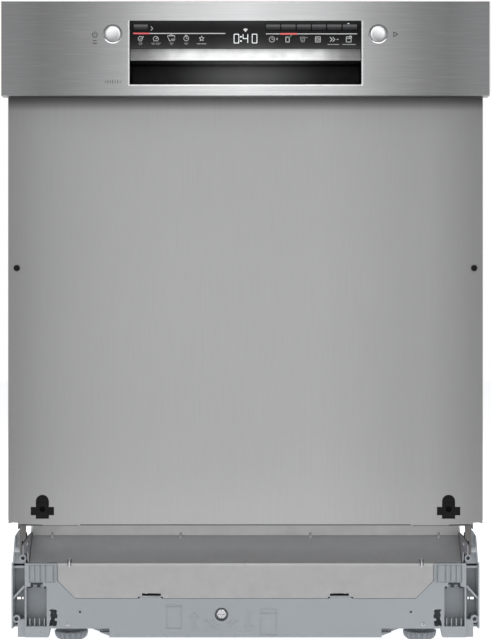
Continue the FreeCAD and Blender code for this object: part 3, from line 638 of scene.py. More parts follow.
def door_sheet_mat():
    m = Mat("door_sheet_grained", 0.25, 0.52, spec=0.35)
    v = m.coord((900, 900, 14))
    g = m.noise(1.0, 5, v, 0.65)
    fine = m.noise(1500, 2)
    c0 = rgb(158, 158, 157)
    c = m.ramp(m.noise(2.2, 2), [(0.3, sc(c0, 0.97)), (0.7, sc(c0, 1.03))])
    c = m.mix(m.maprange(g, 0.3, 0.7, 0.0, 0.5), c, sc(c0, 0.90))
    c = m.mix(m.maprange(fine, 0.35, 0.7, 0.0, 0.4), c, sc(c0, 1.10))
    # painted shade: the sheet is darker to both edges; a painted shadow darkens it under the panel above it, and
    # painted light makes it a little lighter near the bottom
    x = m.ramp(m.maprange(m.axis(0), -0.3, 0.3, 0.0, 1.0), [(p, (k, k, k, 1)) for p, k in DOOR_X_PAINTED_SHADE])
    z = m.ramp(m.maprange(m.axis(2), 0.150, 0.720, 0.0, 1.0), [(p, (k, k, k, 1)) for p, k in DOOR_Z_PAINTED_SHADOW_AND_LIGHT])
    m.color(m.mul(m.mul(c, x), z))
    m.rough(m.maprange(g, 0.3, 0.7, 0.44, 0.60))
    m.bump(g, 0.05, 0.0001)
    m.bump(fine, 0.05, 0.0001)
    return m.m


def fascia_mat():
    m = Mat("fascia_brushed_wide", 1.0, 0.36)
    g = m.noise(1.0, 5, m.coord((9.0, 1500, 1500)), 0.6)
    h = m.noise(1.0, 3, m.coord((22.0, 520, 520)), 0.55)
    x = m.math("ABSOLUTE", m.axis(0))
    # painted sheen: the steel is lighter in the middle and darker to both ends
    c = m.ramp(m.maprange(x, 0.0, 0.3, 0.0, 1.0), FASCIA_PAINTED_SHEEN_STOPS)
    c = m.mix(m.maprange(g, 0.35, 0.65, 0.0, 0.13), c, (0.16, 0.16, 0.16, 1))
    c = m.mix(m.maprange(h, 0.50, 0.78, 0.0, 0.07), c, (0.80, 0.80, 0.80, 1))
    m.color(c)
    m.rough(m.maprange(g, 0.3, 0.7, 0.32, 0.42))
    m.bump(g, 0.04, 0.0001)
    return m.m


def ramp_metal(name, stops, span, rough, axis=0, metallic=1.0, zstops=None, zspan=None):
    """Bright metal whose tone changes along one axis: a painted reflection like the one polished strips show."""
    m = Mat(name, metallic, rough)
    x = m.math("ABSOLUTE", m.axis(axis)) if axis == 0 else m.axis(axis)
    c = m.ramp(m.maprange(x, span[0], span[1], 0.0, 1.0), stops)
    if zstops:
        c = m.mul(c, m.ramp(m.maprange(m.axis(2), zspan[0], zspan[1], 0.0, 1.0), zstops))
    c = m.mix(m.maprange(m.noise(900, 2), 0.35, 0.7, 0.0, 0.06), c, (0.2, 0.2, 0.2, 1))
    m.color(c)
    m.rough(m.maprange(m.noise(70, 4), 0.3, 0.7, rough - 0.03, rough + 0.05))
    m.bump(m.noise(300, 3), 0.015, 0.0002)
    return m.m


def gloss_black(name, col, rough=0.10, coat=0.5, spec=0.5):
    m = Mat(name, 0.0, rough, spec=spec, coat=coat, coat_rough=0.06)
    c = m.ramp(m.noise(9, 4), [(0.3, sc(col, 0.8)), (0.7, sc(col, 1.25))])
    c = m.mix(m.maprange(m.noise(1400, 2), 0.45, 0.75, 0.0, 0.35), c, sc(col, 2.2))
    m.color(c)
    m.rough(m.maprange(m.noise(120, 5), 0.3, 0.7, rough, rough + 0.10))
    m.bump(m.noise(5, 2), 0.02, 0.002)
    return m.m


def fleece(name, col):
    """Pressed fibre mat."""
    m = Mat(name, 0.0, 0.92, spec=0.15)
    f = m.noise(1.0, 6, m.coord((420, 420, 90)), 0.7, 1.5)
    f2 = m.noise(1.0, 6, m.coord((110, 380, 420)), 0.7, 1.5)
    w = m.math("MAXIMUM", f, f2)
    c = m.ramp(w, [(0.40, sc(col, 0.72)), (0.58, col), (0.75, sc(col, 1.35))])
    c = m.mix(m.maprange(m.noise(14, 5), 0.35, 0.7, 0.0, 0.5), c, sc(col, 0.85))
    m.color(c)
    m.rough(m.maprange(w, 0.3, 0.7, 0.85, 0.98))
    m.bump(w, 0.55, 0.0012)
    m.bump(m.noise(28, 3), 0.30, 0.003)
    return m.m


def sheet_paint(name, col, rough=0.45, metallic=0.0):
    m = Mat(name, metallic, rough)
    m.color(m.ramp(m.noise(2.0, 3), [(0.3, sc(col, 0.96)), (0.7, sc(col, 1.04))]))
    m.rough(m.maprange(m.noise(20, 4), 0.3, 0.7, rough - 0.06, rough + 0.08))
    m.bump(m.noise(420, 2), 0.06, 0.0003)
    return m.m


def galv(name, col, rough=0.36, metallic=0.85, zspan=None, zstops=None, var=0.10):
    """Zinc coated sheet with faint spangle."""
    m = Mat(name, metallic, rough)
    vor = m.voronoi(120)
    c = m.ramp(vor, [(0.0, sc(col, 1 - var)), (0.5, col), (1.0, sc(col, 1 + var))])
    c = m.mix(m.maprange(m.noise(7, 4), 0.3, 0.7, 0.0, 0.5), c, sc(col, 1 - 0.8 * var))
    # optional painted light: the tone changes with height
    if zstops:
        c = m.mul(c, m.ramp(m.maprange(m.axis(2), zspan[0], zspan[1], 0.0, 1.0), zstops))
    m.color(c)
    m.rough(m.maprange(m.noise(60, 4), 0.3, 0.7, rough - 0.06, rough + 0.10))
    m.bump(m.noise(260, 3), 0.05, 0.0003)
    return m.m


# painted sheen along the fascia, lighter in the middle
FASCIA_PAINTED_SHEEN_STOPS = grey((0.0, 0.52), (0.093, 0.49), (0.2, 0.457), (0.307, 0.425), (0.41, 0.372), (0.517, 0.297), (0.623, 0.247), (0.73, 0.203), (0.833, 0.187),
                    (0.94, 0.235), (1.0, 0.25))
# painted shade across the door sheet, darker to both edges
DOOR_X_PAINTED_SHADE = ((0.0, 0.60), (0.03, 0.664), (0.083, 0.81), (0.135, 0.897), (0.188, 0.947), (0.242, 0.987), (0.35, 1.027), (0.65, 1.03), (0.72, 0.98), (0.77, 0.935),
          (0.823, 0.885), (0.877, 0.86), (0.93, 0.743), (0.97, 0.64), (1.0, 0.60))
# painted shadow under the panel at the top of the door sheet, painted light near its bottom
DOOR_Z_PAINTED_SHADOW_AND_LIGHT = ((0.0, 1.08), (0.07, 1.08), (0.16, 1.02), (0.24, 1.0), (0.929, 1.0), (0.9335, 1.0), (0.9382, 0.92), (0.9426, 0.74), (0.947, 0.59), (0.9512, 0.45), (0.9556, 0.34), (0.960, 0.25), (0.966, 0.24), (0.975, 0.2), (1.0, 0.2))
M_door = door_sheet_mat()
M_fascia = fascia_mat()
M_side = sheet_paint("side_panel_paint", rgb(150, 153, 157))
M_galv = galv("zinc_sheet", (0.42, 0.43, 0.44, 1))
# painted light: the toe sheet is lighter from about 113 to 148 mm height and a little lighter below
M_toe = galv("toe_sheet_satin", (0.342, 0.339, 0.341, 1), 0.40, 0.60, (0.100, 0.155), grey((0.0, 1.06), (0.18, 1.06), (0.24, 1.28), (0.80, 1.22), (0.87, 1.0), (1.0, 1.0)), 0.03)


# painted reflection: the strip is lighter in the middle and towards its bottom, darker to the ends and its top
M_chrome = ramp_metal("grip_strip_chrome", grey((0.0, 0.33), (0.35, 0.325), (0.45, 0.32), (0.55, 0.305), (0.655, 0.27), (0.76, 0.175), (0.86, 0.12), (0.97, 0.105), (1.0, 0.10)),
                      (0.0, 0.1417), 0.16, zspan=(0.7415, 0.7575), zstops=grey((0.0, 1.35), (0.1, 1.28), (0.28, 1.04), (0.5, 1.0), (0.66, 0.88), (0.85, 0.62), (1.0, 0.42)))
M_rim = ramp_metal("rim_polished", grey((0.0, 0.43), (1.0, 0.43)), (0.0, 0.3), 0.18)
# painted highlight on the lower part of the ring and painted shade on its upper part
M_ring = ramp_metal("ring_polished", grey((0.0, 0.85), (0.24, 0.80), (0.38, 0.30), (0.62, 0.16), (1.0, 0.13)), (0.763, 0.787), 0.18, axis=2)
# painted light: the button face is lighter towards its top and darker towards its bottom
M_button = ramp_metal("button_satin", grey((0.0, 0.15), (0.20, 0.30), (0.42, 0.50), (0.62, 0.64), (0.85, 0.82), (1.0, 0.82)), (0.7648, 0.7852), 0.30, axis=2)


def glass_mat():
    """Smoked window, nearly black, with painted reflection: greyer along its lower and upper edge and towards the
    middle.
    """
    m = Mat("window_smoked", 0.0, 0.14, spec=0.06)
    c = m.ramp(m.maprange(m.axis(2), 0.7575, 0.7905, 0.0, 1.0), grey((0.0, 0.072), (0.10, 0.046), (0.24, 0.026), (0.45, 0.012), (0.72, 0.008), (0.86, 0.012), (1.0, 0.030)))
    x = m.math("ABSOLUTE", m.axis(0))
    c = m.mul(c, m.ramp(m.maprange(x, 0.0, 0.14, 0.0, 1.0), grey((0.0, 1.0), (0.12, 1.0), (0.30, 0.62), (1.0, 0.5))))
    c = m.mix(m.maprange(m.noise(1400, 2), 0.45, 0.75, 0.0, 0.05), c, rgb(66, 66, 67))
    m.color(c)
    m.rough(m.maprange(m.noise(120, 5), 0.3, 0.7, 0.12, 0.22))
    m.bump(m.noise(5, 2), 0.01, 0.001)
    return m.m


M_glass = glass_mat()


def grip_mat():
    """Satin black of the grip recess, a little greyer to the middle and the lower edge: painted sheen, with painted
    shade at its top and bottom edges.
    """
    m = Mat("grip_black", 0.0, 0.42, spec=0.12)
    x = m.math("ABSOLUTE", m.axis(0))
    c = m.ramp(m.maprange(x, 0.0, 0.14, 0.0, 1.0), grey((0.0, 0.24), (0.2, 0.21), (0.30, 0.165), (0.41, 0.12), (0.51, 0.078), (0.61, 0.042), (0.72, 0.021), (0.9, 0.010), (1.0, 0.006)))
    z = m.ramp(m.maprange(m.axis(2), 0.705, 0.750, 0.0, 1.0), grey((0.0, 0.05), (0.12, 0.05), (0.156, 0.86), (0.39, 0.94), (0.57, 1.0), (0.72, 0.80), (0.82, 0.50), (0.878, 0.30), (0.90, 0.05), (1.0, 0.05)))
    c = m.mul(c, z)
    c = m.mix(m.maprange(m.noise(1100, 3), 0.45, 0.75, 0.0, 0.12), c, rgb(62, 62, 62))
    m.color(c)
    m.rough(m.maprange(m.noise(160, 4), 0.3, 0.7, 0.36, 0.52))
    m.bump(m.noise(1300, 2), 0.06, 0.0001)
    return m.m


M_grip = grip_mat()
M_key = None
M_print = plastic("print_white", rgb(206, 206, 206), 0.5, 0.03, 900, 0.03)
M_printdim = plastic("print_grey", rgb(150, 150, 150), 0.5, 0.04, 900, 0.03)
M_printdark = plastic("print_dark", rgb(58, 58, 60), 0.5, 0.04, 900, 0.03)
M_red = plastic("print_red", rgb(222, 96, 98), 0.5, 0.03, 900, 0.03)
M_green = plastic("print_green", rgb(86, 150, 110), 0.5, 0.03, 900, 0.03)
M_fleece = fleece("mat_fleece", rgb(86, 86, 88))
M_pcb = plastic("board_green", rgb(34, 78, 52), 0.4, 0.10, 500, 0.1, coat=0.3)


def key_mat():
    m = Mat("key_tile", 0.0, 0.34, spec=0.06)
    # painted shade: the key tiles darken from top to bottom
    z = m.maprange(m.axis(2), 0.7799, 0.7872, 0.0, 1.0)
    c = m.ramp(z, [(0.0, rgb(26, 26, 27)), (0.25, rgb(40, 40, 41)), (0.42, rgb(54, 54, 55)), (0.58, rgb(73, 73, 74)), (0.76, rgb(98, 98, 99)), (1.0, rgb(72, 72, 73))])
    c = m.mix(m.maprange(m.noise(1200, 2), 0.4, 0.7, 0.0, 0.05), c, rgb(130, 130, 130))
    m.color(c)
    m.rough(m.maprange(m.noise(80, 4), 0.3, 0.7, 0.22, 0.36))
    m.bump(m.noise(900, 2), 0.03, 0.0001)
    return m.m


def led_mat():
    m = Mat("digit_white", 0.0, 0.4)
    m.color(m.ramp(m.noise(700, 2), [(0.3, rgb(228, 230, 232)), (0.7, rgb(244, 245, 246))]))
    m.rough(m.maprange(m.noise(90, 3), 0.3, 0.7, 0.35, 0.5))
    m.bump(m.noise(900, 2), 0.02, 0.0001)
    m.b.inputs["Emission Color"].default_value = (0.9, 0.95, 1.0, 1)
    m.b.inputs["Emission Strength"].default_value = 0.35
    return m.m


M_key = key_mat()
M_led = led_mat()

M_bracket = sheet_paint("bracket_zinc_paint", rgb(128, 128, 132), 0.5)
M_shade = plastic("dark_insert", rgb(58, 61, 65), 0.6, 0.06, 900, 0.1, spec=0.2)
# dark colour used as painted shadow
M_dark_painted_shadow = plastic("door_lip_dark", rgb(96, 96, 98), 0.6, 0.06, 900, 0.1, spec=0.2)

M_groove = plastic("base_groove_line", rgb(112, 118, 124), 0.6, 0.05, 900, 0.08)
M_gusset_painted_highlight = plastic("bend_gusset_bright", rgb(214, 214, 216), 0.4, 0.04, 900, 0.08)

# ------------------------------------------------------------------ front: fascia, window, buttons
refined("control_fascia", M_fascia, 0.0006)
YF = -0.2865
bm = bmesh.new()
for x0, x1 in ((-0.1438, -0.1421), (0.1421, 0.1440)):
    bm_prism(bm, [(x0, 0.7112), (x1, 0.7112), (x1, 0.7913), (x0, 0.7913)], YF - 0.0005, YF + 0.0004)
bm_prism(bm, [(-0.1438, 0.7114), (0.1440, 0.7114), (0.1440, 0.7127), (-0.1438, 0.7127)], YF - 0.0006, YF + 0.0005)
soften(bm, 0.0004)
bm_obj("fascia_opening_rim", bm, M_rim, "door", 40)
refined("display_window", M_glass, 0.0003)
for k in ["left_key"] + ["right_key_%d" % i for i in range(1, 7)]:
    refined(k, M_key, 0.0003)
refined("handle_trim", M_chrome, 0.0008, seg=3)
assign(N["panel_carrier"], M_grip)

YW = -0.2846
A, B = YW - 0.00012, YW + 0.00004
w_, d_, r_, g_, l_ = bmesh.new(), bmesh.new(), bmesh.new(), bmesh.new(), bmesh.new()


def S(bm, pts, w, closed=False):
    ribbon(bm, mm(pts), w * MM, A, B, closed)


def small(bm, text, x, z, h=2.3):
    """Row of small figures centred on x."""
    wd = h * 0.52
    step = wd + 0.9
    n = sum(0.6 if c in "o " else 1.0 for c in text)
    cx = x - n * step / 2 + 0.3
    for c in text:
        if c == "o":
            S(bm, arc(cx + 0.2, z + h - 0.5, 0.42, 0, 360, 8), 0.3)
            cx += step * 0.6
        elif c == " ":
            cx += step * 0.6
        elif c == "-":
            S(bm, [(cx, z + h / 2), (cx + wd, z + h / 2)], 0.35)
            cx += step
        else:
            digit(bm, c, cx * MM, z * MM, wd * MM, h * MM, 0.42 * MM, A, B)
            cx += step


# programme lines
S(w_, [(-117.2, 775.9), (-25.1, 775.9)], 0.95)
S(r_, [(-137.2, 775.9), (-117.9, 775.9)], 1.7)
S(w_, [(25.3, 775.4), (42.0, 775.4)], 0.85)
S(w_, [(63.6, 775.4), (136.4, 775.4)], 0.85)
S(r_, [(43.0, 775.4), (62.6, 775.4)], 2.0)
S(w_, [(-115.8, 784.2), (-113.4, 782.0), (-115.8, 779.8)], 0.6)
S(w_, [(125.0, 788.0), (127.0, 788.0)], 1.1)
# left icons: leaf, gauge, pan with lid, clock, star
S(w_, arc(-128.6, 769.4, 2.9, 20, 200, 10) + arc(-128.6, 769.4, 2.9, 200, 290, 6) + [(-125.0, 772.4)], 0.65)
S(w_, [(-130.6, 767.4), (-127.2, 770.8)], 0.5)
S(w_, arc(-109.8, 769.2, 3.1, -30, 210, 14), 0.7)
S(w_, [(-109.8, 769.2), (-107.9, 771.2)], 0.7)
S(w_, [(-112.4, 766.9), (-107.2, 766.9)], 0.6)
S(w_, [(-95.4, 771.2), (-95.4, 773.0), (-86.6, 773.0), (-86.6, 770.8)], 0.65)
S(w_, [(-93.8, 773.2), (-91.0, 774.6), (-88.2, 773.2)], 0.6)
S(w_, arc(-88.6, 769.0, 2.0, 180, 360, 8) + [(-90.6, 769.0)], 0.65)
S(w_, [(-94.4, 770.4), (-93.2, 766.9), (-91.4, 766.9)], 0.65)
S(w_, arc(-72.6, 769.8, 3.0, 0, 360, 18), 0.65)
S(w_, [(-72.6, 771.6), (-72.6, 769.8), (-71.1, 769.8)], 0.55)
S(w_, [(-74.0, 773.7), (-71.2, 773.7)], 0.6)
star = []
for i in range(11):
    rr = 3.3 if i % 2 == 0 else 1.45
    aa = math.radians(90 + 36 * i)
    star.append((-53.7 + rr * math.cos(aa), 769.6 + rr * math.sin(aa)))
S(w_, star, 0.6)
small(d_, "50o", -128.2, 762.2)
small(d_, "40-60o", -109.6, 762.2)
small(d_, "70o", -90.6, 762.2)
small(d_, "45o", -72.4, 762.2)
S(d_, [(-59.2, 763.2), (-55.2, 763.2)], 1.0)
S(d_, [(-54.0, 763.2), (-48.4, 763.2)], 1.0)
# time figures and radio sign
for ch, x in (("0", -14.0), ("4", -3.0), ("0", 8.2)):
    digit(l_, ch, x * MM, 764.2 * MM, 5.8 * MM, 10.8 * MM, 0.74 * MM, A, B)
S(l_, [(-6.3, 766.6), (-4.9, 766.6)], 1.4)
S(l_, [(-6.3, 771.8), (-4.9, 771.8)], 1.4)
bm_prism(w_, mm([(0.0, 777.6)] + arc(0.0, 777.6, 4.4, 48, 132, 8)), A, B)
# right icons
S(w_, arc(32.4, 768.6, 3.3, 0, 360, 18), 0.6)
S(w_, [(32.4, 770.6), (32.4, 768.6), (34.2, 768.6)], 0.5)
S(w_, [(37.4, 769.6), (39.0, 768.2), (38.9, 770.4)], 0.5)
S(w_, [(49.4, 771.4), (53.6, 771.4), (53.6, 765.4), (49.4, 765.4)], 0.7, True)
S(g_, [(52.6, 772.0), (54.0, 770.8), (56.8, 774.2)], 0.7)
S(d_, [(67.2, 771.4), (73.0, 771.4), (71.8, 765.6), (68.4, 765.6)], 0.7, True)
S(d_, [(67.6, 769.4), (72.6, 769.4)], 0.5)
S(d_, [(68.0, 767.5), (72.2, 767.5)], 0.5)
S(d_, [(74.0, 770.8), (76.2, 770.8)], 0.6)
S(w_, [(85.6, 771.8), (91.6, 771.8), (91.6, 765.4), (85.6, 765.4)], 0.6, True)
S(w_, arc(88.6, 768.6, 1.9, 0, 360, 12), 0.5)
S(w_, [(88.6, 769.9), (88.6, 768.6), (89.6, 768.6)], 0.4)
for dx in (0.0, 3.4):
    S(w_, [(103.6 + dx, 771.2), (106.2 + dx, 768.6), (103.6 + dx, 766.0)], 0.7)
S(w_, [(112.2, 768.6), (113.4, 768.6)], 0.9)
S(w_, [(123.4, 771.8), (129.4, 771.8), (129.4, 765.4), (123.4, 765.4)], 0.6, True)
S(w_, [(123.6, 769.6), (129.2, 769.6)], 0.5)
S(w_, arc(128.6, 771.4, 1.5, 0, 360, 8), 0.8)
for a_, b_ in ((100.8, 103.4), (104.4, 107.8), (108.8, 114.4), (118.8, 123.0), (123.9, 128.0), (128.8, 134.6)):
    S(d_, [(a_, 762.4), (b_, 762.4)], 0.85)
for bm, m, nm in ((w_, M_print, "window_signs"), (d_, M_printdim, "window_figures"), (r_, M_red, "window_marks_red"),
                  (g_, M_green, "window_tick"), (l_, M_led, "window_time")):
    bm_obj(nm, bm, m, "door")

# icons beside the buttons
bm = bmesh.new()
Y0, Y1 = YF - 0.00012, YF + 0.00006
ribbon(bm, mm(arc(-184.3, 774.0, 3.0, -235, 55, 22)), 0.85 * MM, Y0, Y1)
ribbon(bm, mm([(-184.3, 774.4), (-184.3, 778.2)]), 0.85 * MM, Y0, Y1)
for a_, b_, z_ in ((-186.6, -185.4, 766.6), (-184.8, -182.6, 766.6), (-186.6, -184.4, 763.4), (-183.8, -182.2, 763.4)):
    ribbon(bm, mm([(a_, z_), (b_, z_)]), 1.1 * MM, Y0, Y1)
for i, h in enumerate((2.2, 4.2, 3.0, 5.0, 2.6, 3.8, 2.0)):
    x_ = -171.4 + i * 3.0
    ribbon(bm, mm([(x_, 716.3 - h / 2), (x_, 716.3 + h / 2)]), 0.75 * MM, Y0, Y1)
ribbon(bm, mm([(181.4, 777.3), (186.4, 774.5), (181.4, 771.7)]), 1.0 * MM, Y0, Y1, True)
bm_obj("button_signs", bm, M_printdark, "door")

# round buttons with a polished cone round each
for nm, sx in (("power_button", -1), ("start_button", 1)):
    bm = bmesh.new()
    lathe(bm, [(0, 0.0002), (0.0070, 0.00005), (0.0088, 0.0), (0.0096, 0.0001), (0.0100, 0.0004), (0.01018, 0.0009), (0.01018, 0.0065),
               (0.0040, 0.0065), (0.0040, 0.0205), (0, 0.0205)], (sx * 0.1626, YF - 0.0001, 0.775), (0, 1, 0), 72)
    o = bm_obj(nm + "_turned", bm, M_button, nm, 30)
    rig.replaces(o, nm)
    bm = bmesh.new()
    lathe(bm, [(0.01035, 0.0022), (0.01045, -0.0001), (0.0115, -0.0008), (0.0118, -0.0007), (0.0120, 0.0003), (0.0120, 0.0006), (0.0106, 0.0006),
               (0.01035, 0.0022)], (sx * 0.1626, YF, 0.775), (0, 1, 0), 72)
    bm_obj(nm + "_ring", bm, M_ring, "door", 30)

# ------------------------------------------------------------------ base, feet, toe sheet, hinges
assign(N["base_tray"], M_base)
yb = -0.1995
bm = bmesh.new()
R0, R1 = yb - 0.00028, yb + 0.0001
LW = 0.55 * MM


def E(pts, closed=False, w=LW):
    ribbon(bm, mm(pts), w, R0, R1, closed)


E([(-100.9, 60.9), (-81.5, 60.9), (-81.5, 30.7), (-100.9, 30.7)], True)
E([(-100.9, 58.4), (-81.5, 58.4)])
E([(19.1, 55.5), (39.7, 55.5), (39.7, 22.0), (19.1, 22.0)], True)
E([(19.1, 50.1), (39.7, 50.1)])
E([(-67.0, 27.0), (-67.0, 45.2), (-71.2, 45.2), (-65.3, 51.0), (-59.6, 45.2), (-63.7, 45.2), (-63.7, 27.0)])
E([(2.6, 53.2), (2.6, 34.6), (-1.8, 34.6), (4.2, 27.2), (10.6, 34.6), (5.8, 34.6), (5.8, 53.2)])
for r in (14.5, 19.5):
    E(arc(-30.6, 48.8, r, 196, 262, 10))
    E(arc(-30.6, 48.8, r, 300, 338, 8))
E([(-13.2, 40.2), (-8.6, 40.2)])
E([(-10.9, 42.4), (-10.9, 38.0)])
E([(-52.4, 40.2), (-47.8, 40.2)])
bm_obj("base_embossing", bm, M_base, "cabinet")

# ribs along the tray's sides and across its back
bm = bmesh.new()
for k in range(9):
    y = -0.150 + k * 0.048
    for s in (1, -1):
        x0, x1 = sorted((s * 0.2988, s * 0.3002))
        bm_prism(bm, [(y, 0.034), (y + 0.003, 0.034), (y + 0.003, 0.112), (y, 0.112)], x0, x1, "yz")
for s in (1, -1):
    x0, x1 = sorted((s * 0.2988, s * 0.2998))
    bm_prism(bm, [(-0.055, 0.084), (0.27, 0.084), (0.27, 0.087), (-0.055, 0.087)], x0, x1, "yz")
soften(bm, 0.0005, 1)
bm_obj("base_side_ribs", bm, M_base, "cabinet", 30)
bm = bmesh.new()
for x0, x1 in ((-0.292, -0.178), (-0.172, -0.062), (0.052, 0.168), (0.272, 0.292)):
    for z in (0.050, 0.070, 0.090):
        bm_box(bm, x0, x1, 0.2863, 0.2874, z, z + 0.0024)
bm_obj("base_rear_ribs", bm, M_base, "cabinet")


def star_head(bm, c, axis, r, h, recess=True):
    """Pan head screw with a cross recess, its face towards -axis."""
    lathe(bm, [(0, -h), (r * 0.55, -h), (r * 0.86, -h * 0.78), (r, -h * 0.30), (r, 0.0002), (0, 0.0002)], c, axis, 28)
    # the cross recess is drawn as black bars: painted shade
    if recess:
        ax = Vector(axis)
        up = Vector((0, 0, 1)) if abs(ax.z) < 0.9 else Vector((1, 0, 0))
        u = ax.cross(up).normalized()
        v = ax.cross(u)
        for a, b in ((u, v), (v, u)):
            vs = []
            for d in (-h * 1.06, -h * 0.5):
                for i, j in ((-1, -1), (1, -1), (1, 1), (-1, 1)):
                    vs.append(bm2.verts.new(Vector(c) + ax * d + a * (i * r * 0.55) + b * (j * r * 0.10)))
            for f in ((0, 3, 2, 1), (4, 5, 6, 7), (0, 1, 5, 4), (1, 2, 6, 5), (2, 3, 7, 6), (3, 0, 4, 7)):
                bm2.faces.new([vs[i] for i in f])


bm, bm2 = bmesh.new(), bmesh.new()
for s in (1, -1):
    star_head(bm, (s * 0.227, yb, 0.0364), (0, 1, 0), 0.0025, 0.0010)
    for z in (0.150, 0.470, 0.790):
        star_head(bm, (s * 0.288, 0.2835, z), (0, -1, 0), 0.0042, 0.0019)
    for x in (0.200, 0.285):
        star_head(bm, (s * x, -0.178, 0.809), (0, 0, -1), 0.0036, 0.0016)
o = bm_obj("screw_heads", bm, M_screw, "cabinet", 30)
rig.replaces(o, "base_screws")
bm_obj("screw_recesses", bm2, M_black, "cabinet")

# adjuster shaft and rear foot with softened edges
refined("rear_foot_shaft", M_screw, 0.0003)
refined("rear_foot", M_inner, 0.001, 3)


def knurled(node, sx):
    prof = [(0, 0), (0.0160, 0.0), (0.0178, 0.0006), (0.0185, 0.0018), (0.0184, 0.0050), (0.0152, 0.0066), (0.0132, 0.0085), (0.0130, 0.0100),
            (0.0152, 0.0119), (0.0184, 0.0136), (0.0204, 0.0160), (0.0213, 0.0188), (0.0216, 0.0205), (0.0216, 0.0222), (0.0211, 0.0229), (0.0190, 0.0234),
            (0.0130, 0.0237), (0.0120, 0.0262), (0.0080, 0.0268)]
    z = 0.0280
    while z < 0.0886:
        prof += [(0.0080, z), (0.0073, z + 0.0009), (0.0080, z + 0.0018)]
        z += 0.0024
    prof += [(0.0078, 0.0898), (0, 0.0900)]
    bm = bmesh.new()
    seg = 108
    rings = lathe(bm, prof, (sx * 0.226, -0.165, 0), (0, 0, 1), seg)
    for ring, (r, h) in zip(rings, prof):
        if 0.0140 < r < 0.0217 and 0.0115 < h < 0.0232 and len(ring) > 1:
            for j, v in enumerate(ring):
                if j % 6 in (0, 1):
                    c = Vector((sx * 0.226, -0.165, v.co.z))
                    v.co = c + (v.co - c) * 0.925
    o = bm_obj(node + "_turned", bm, M_light2, node, 30)
    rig.replaces(o, node)


M_light2 = plastic("foot_moulded", rgb(134, 139, 144), 0.45, 0.04, 900, 0.08)
knurled("front_foot_right", 1)
knurled("front_foot_left", -1)

# toe sheet with small pressed darts on its bends
refined("toe_sheet", M_toe, 0.0004)
bm = bmesh.new()
def dart(bm, x, top, mid, bot, w):
    """Small pressed dart across a bend: a ridge between two points over mid."""
    p = [(x - w, top[0], top[1]), (x + w, top[0], top[1]), (x + w, bot[0], bot[1]), (x - w, bot[0], bot[1])]
    v = [bm.verts.new(k) for k in p] + [bm.verts.new((x, mid[0], mid[1])), bm.verts.new((x, mid[2], mid[3]))]
    for f in ((0, 1, 4), (1, 2, 4), (2, 3, 4), (3, 0, 4), (1, 0, 5), (2, 1, 5), (3, 2, 5), (0, 3, 5)):
        bm.faces.new([v[i] for i in f])


for x in (-0.250, -0.084, 0.084, 0.250):
    dart(bm, x, (-0.1711, 0.1500), (-0.1742, 0.1468, -0.1700, 0.1450), (-0.1737, 0.1430), 0.0014)
for x in (-0.225, 0.0, 0.225):
    dart(bm, x, (-0.1962, 0.1176), (-0.2000, 0.1146, -0.1960, 0.1130), (-0.1992, 0.1106), 0.0014)
bm_obj("toe_sheet_darts", bm, M_toe, "cabinet", 60)
bm, bm2, bm3 = bmesh.new(), bmesh.new(), bmesh.new()
# bright gussets on the lower bend carry a painted highlight, with dark slivers on either side as painted shadow
for x in (-0.2250, 0.2250):
    bm_prism(bm, [(-0.1945, 0.1200), (-0.1998, 0.1166), (-0.2005, 0.1140), (-0.2000, 0.1092), (-0.1985, 0.1092), (-0.1940, 0.1180)], x - 0.0008, x + 0.0008, "yz")
    for dx in (-0.0019, 0.0019):
        bm_prism(bm2, [(-0.1955, 0.1188), (-0.1994, 0.1164), (-0.1998, 0.1140), (-0.1997, 0.1106), (-0.1985, 0.1106), (-0.1945, 0.1175)], x + dx - 0.0005, x + dx + 0.0005, "yz")
soften(bm, 0.0002, 1)
bm_obj("toe_bend_gussets", bm, M_gusset_painted_highlight, "cabinet", 60)
bm_obj("toe_bend_gusset_feet", bm2, M_dark_painted_shadow, "cabinet", 60)
# darker strips for the grooves on the corner blocks: painted shade
for s in (1, -1):
    for x in (239.9, 245.3, 255.0, 262.0, 268.9, 275.6):
        ribbon(bm3, mm([(s * x, 91.0), (s * x, 112.4)]), 0.5 * MM, R0, R1)
    ribbon(bm3, mm([(s * 245.3, 111.6), (s * 275.6, 111.6)]), 0.4 * MM, R0, R1)
bm_obj("corner_block_grooves", bm3, M_groove, "cabinet")

# hinge parts with headed pins and rivets
hb = refined("hinge_brackets", M_bracket, 0.0005)
hb.data.materials.append(M_base)
for p in hb.data.polygons:
    if abs(p.center.x) > 0.2819:
        p.material_index = 1
bm = bmesh.new()
for s in (1, -1):
    lathe(bm, [(0, -0.0009), (0.0012, -0.0009), (0.0018, -0.0004), (0.0020, 0.0002), (0, 0.0002)], (s * 0.2848, -0.1940, 0.1362), (0, 1, 0), 20)
bm_obj("wing_studs", bm, M_shiny, "cabinet", 30)
# painted shade: dark boxes at the head of each corner pocket
bm = bmesh.new()
for s in (1, -1):
    for x0, x1, z0, z1 in ((0.2590, 0.2744, 0.0868, 0.0893), (0.2712, 0.2744, 0.0838, 0.0868), (0.2618, 0.2664, 0.0834, 0.0868),
                           (0.2735, 0.2785, 0.0824, 0.0842), (0.2548, 0.2572, 0.0820, 0.0846)):
        a, c = sorted((s * x0, s * x1))
        bm_box(bm, a, c, yb - 0.0003, yb + 0.0012, z0, z1)
bm_obj("pocket_latch_shades", bm, M_shade, "cabinet")
refined("hinge_arms", M_hinge, 0.0005)
bm = bmesh.new()
for s in (1, -1):
    for y, z in ((-0.160, 0.120), (-0.160, 0.140), (-0.215, 0.142)):
        lathe(bm, [(0, -0.0012), (0.0022, -0.0012), (0.0032, -0.0005), (0.0034, 0.0003), (0, 0.0003)], (s * 0.2765, y, z), (s, 0, 0), 20)
bm_obj("bracket_rivets", bm, M_screw, "cabinet", 30)
bm = bmesh.new()
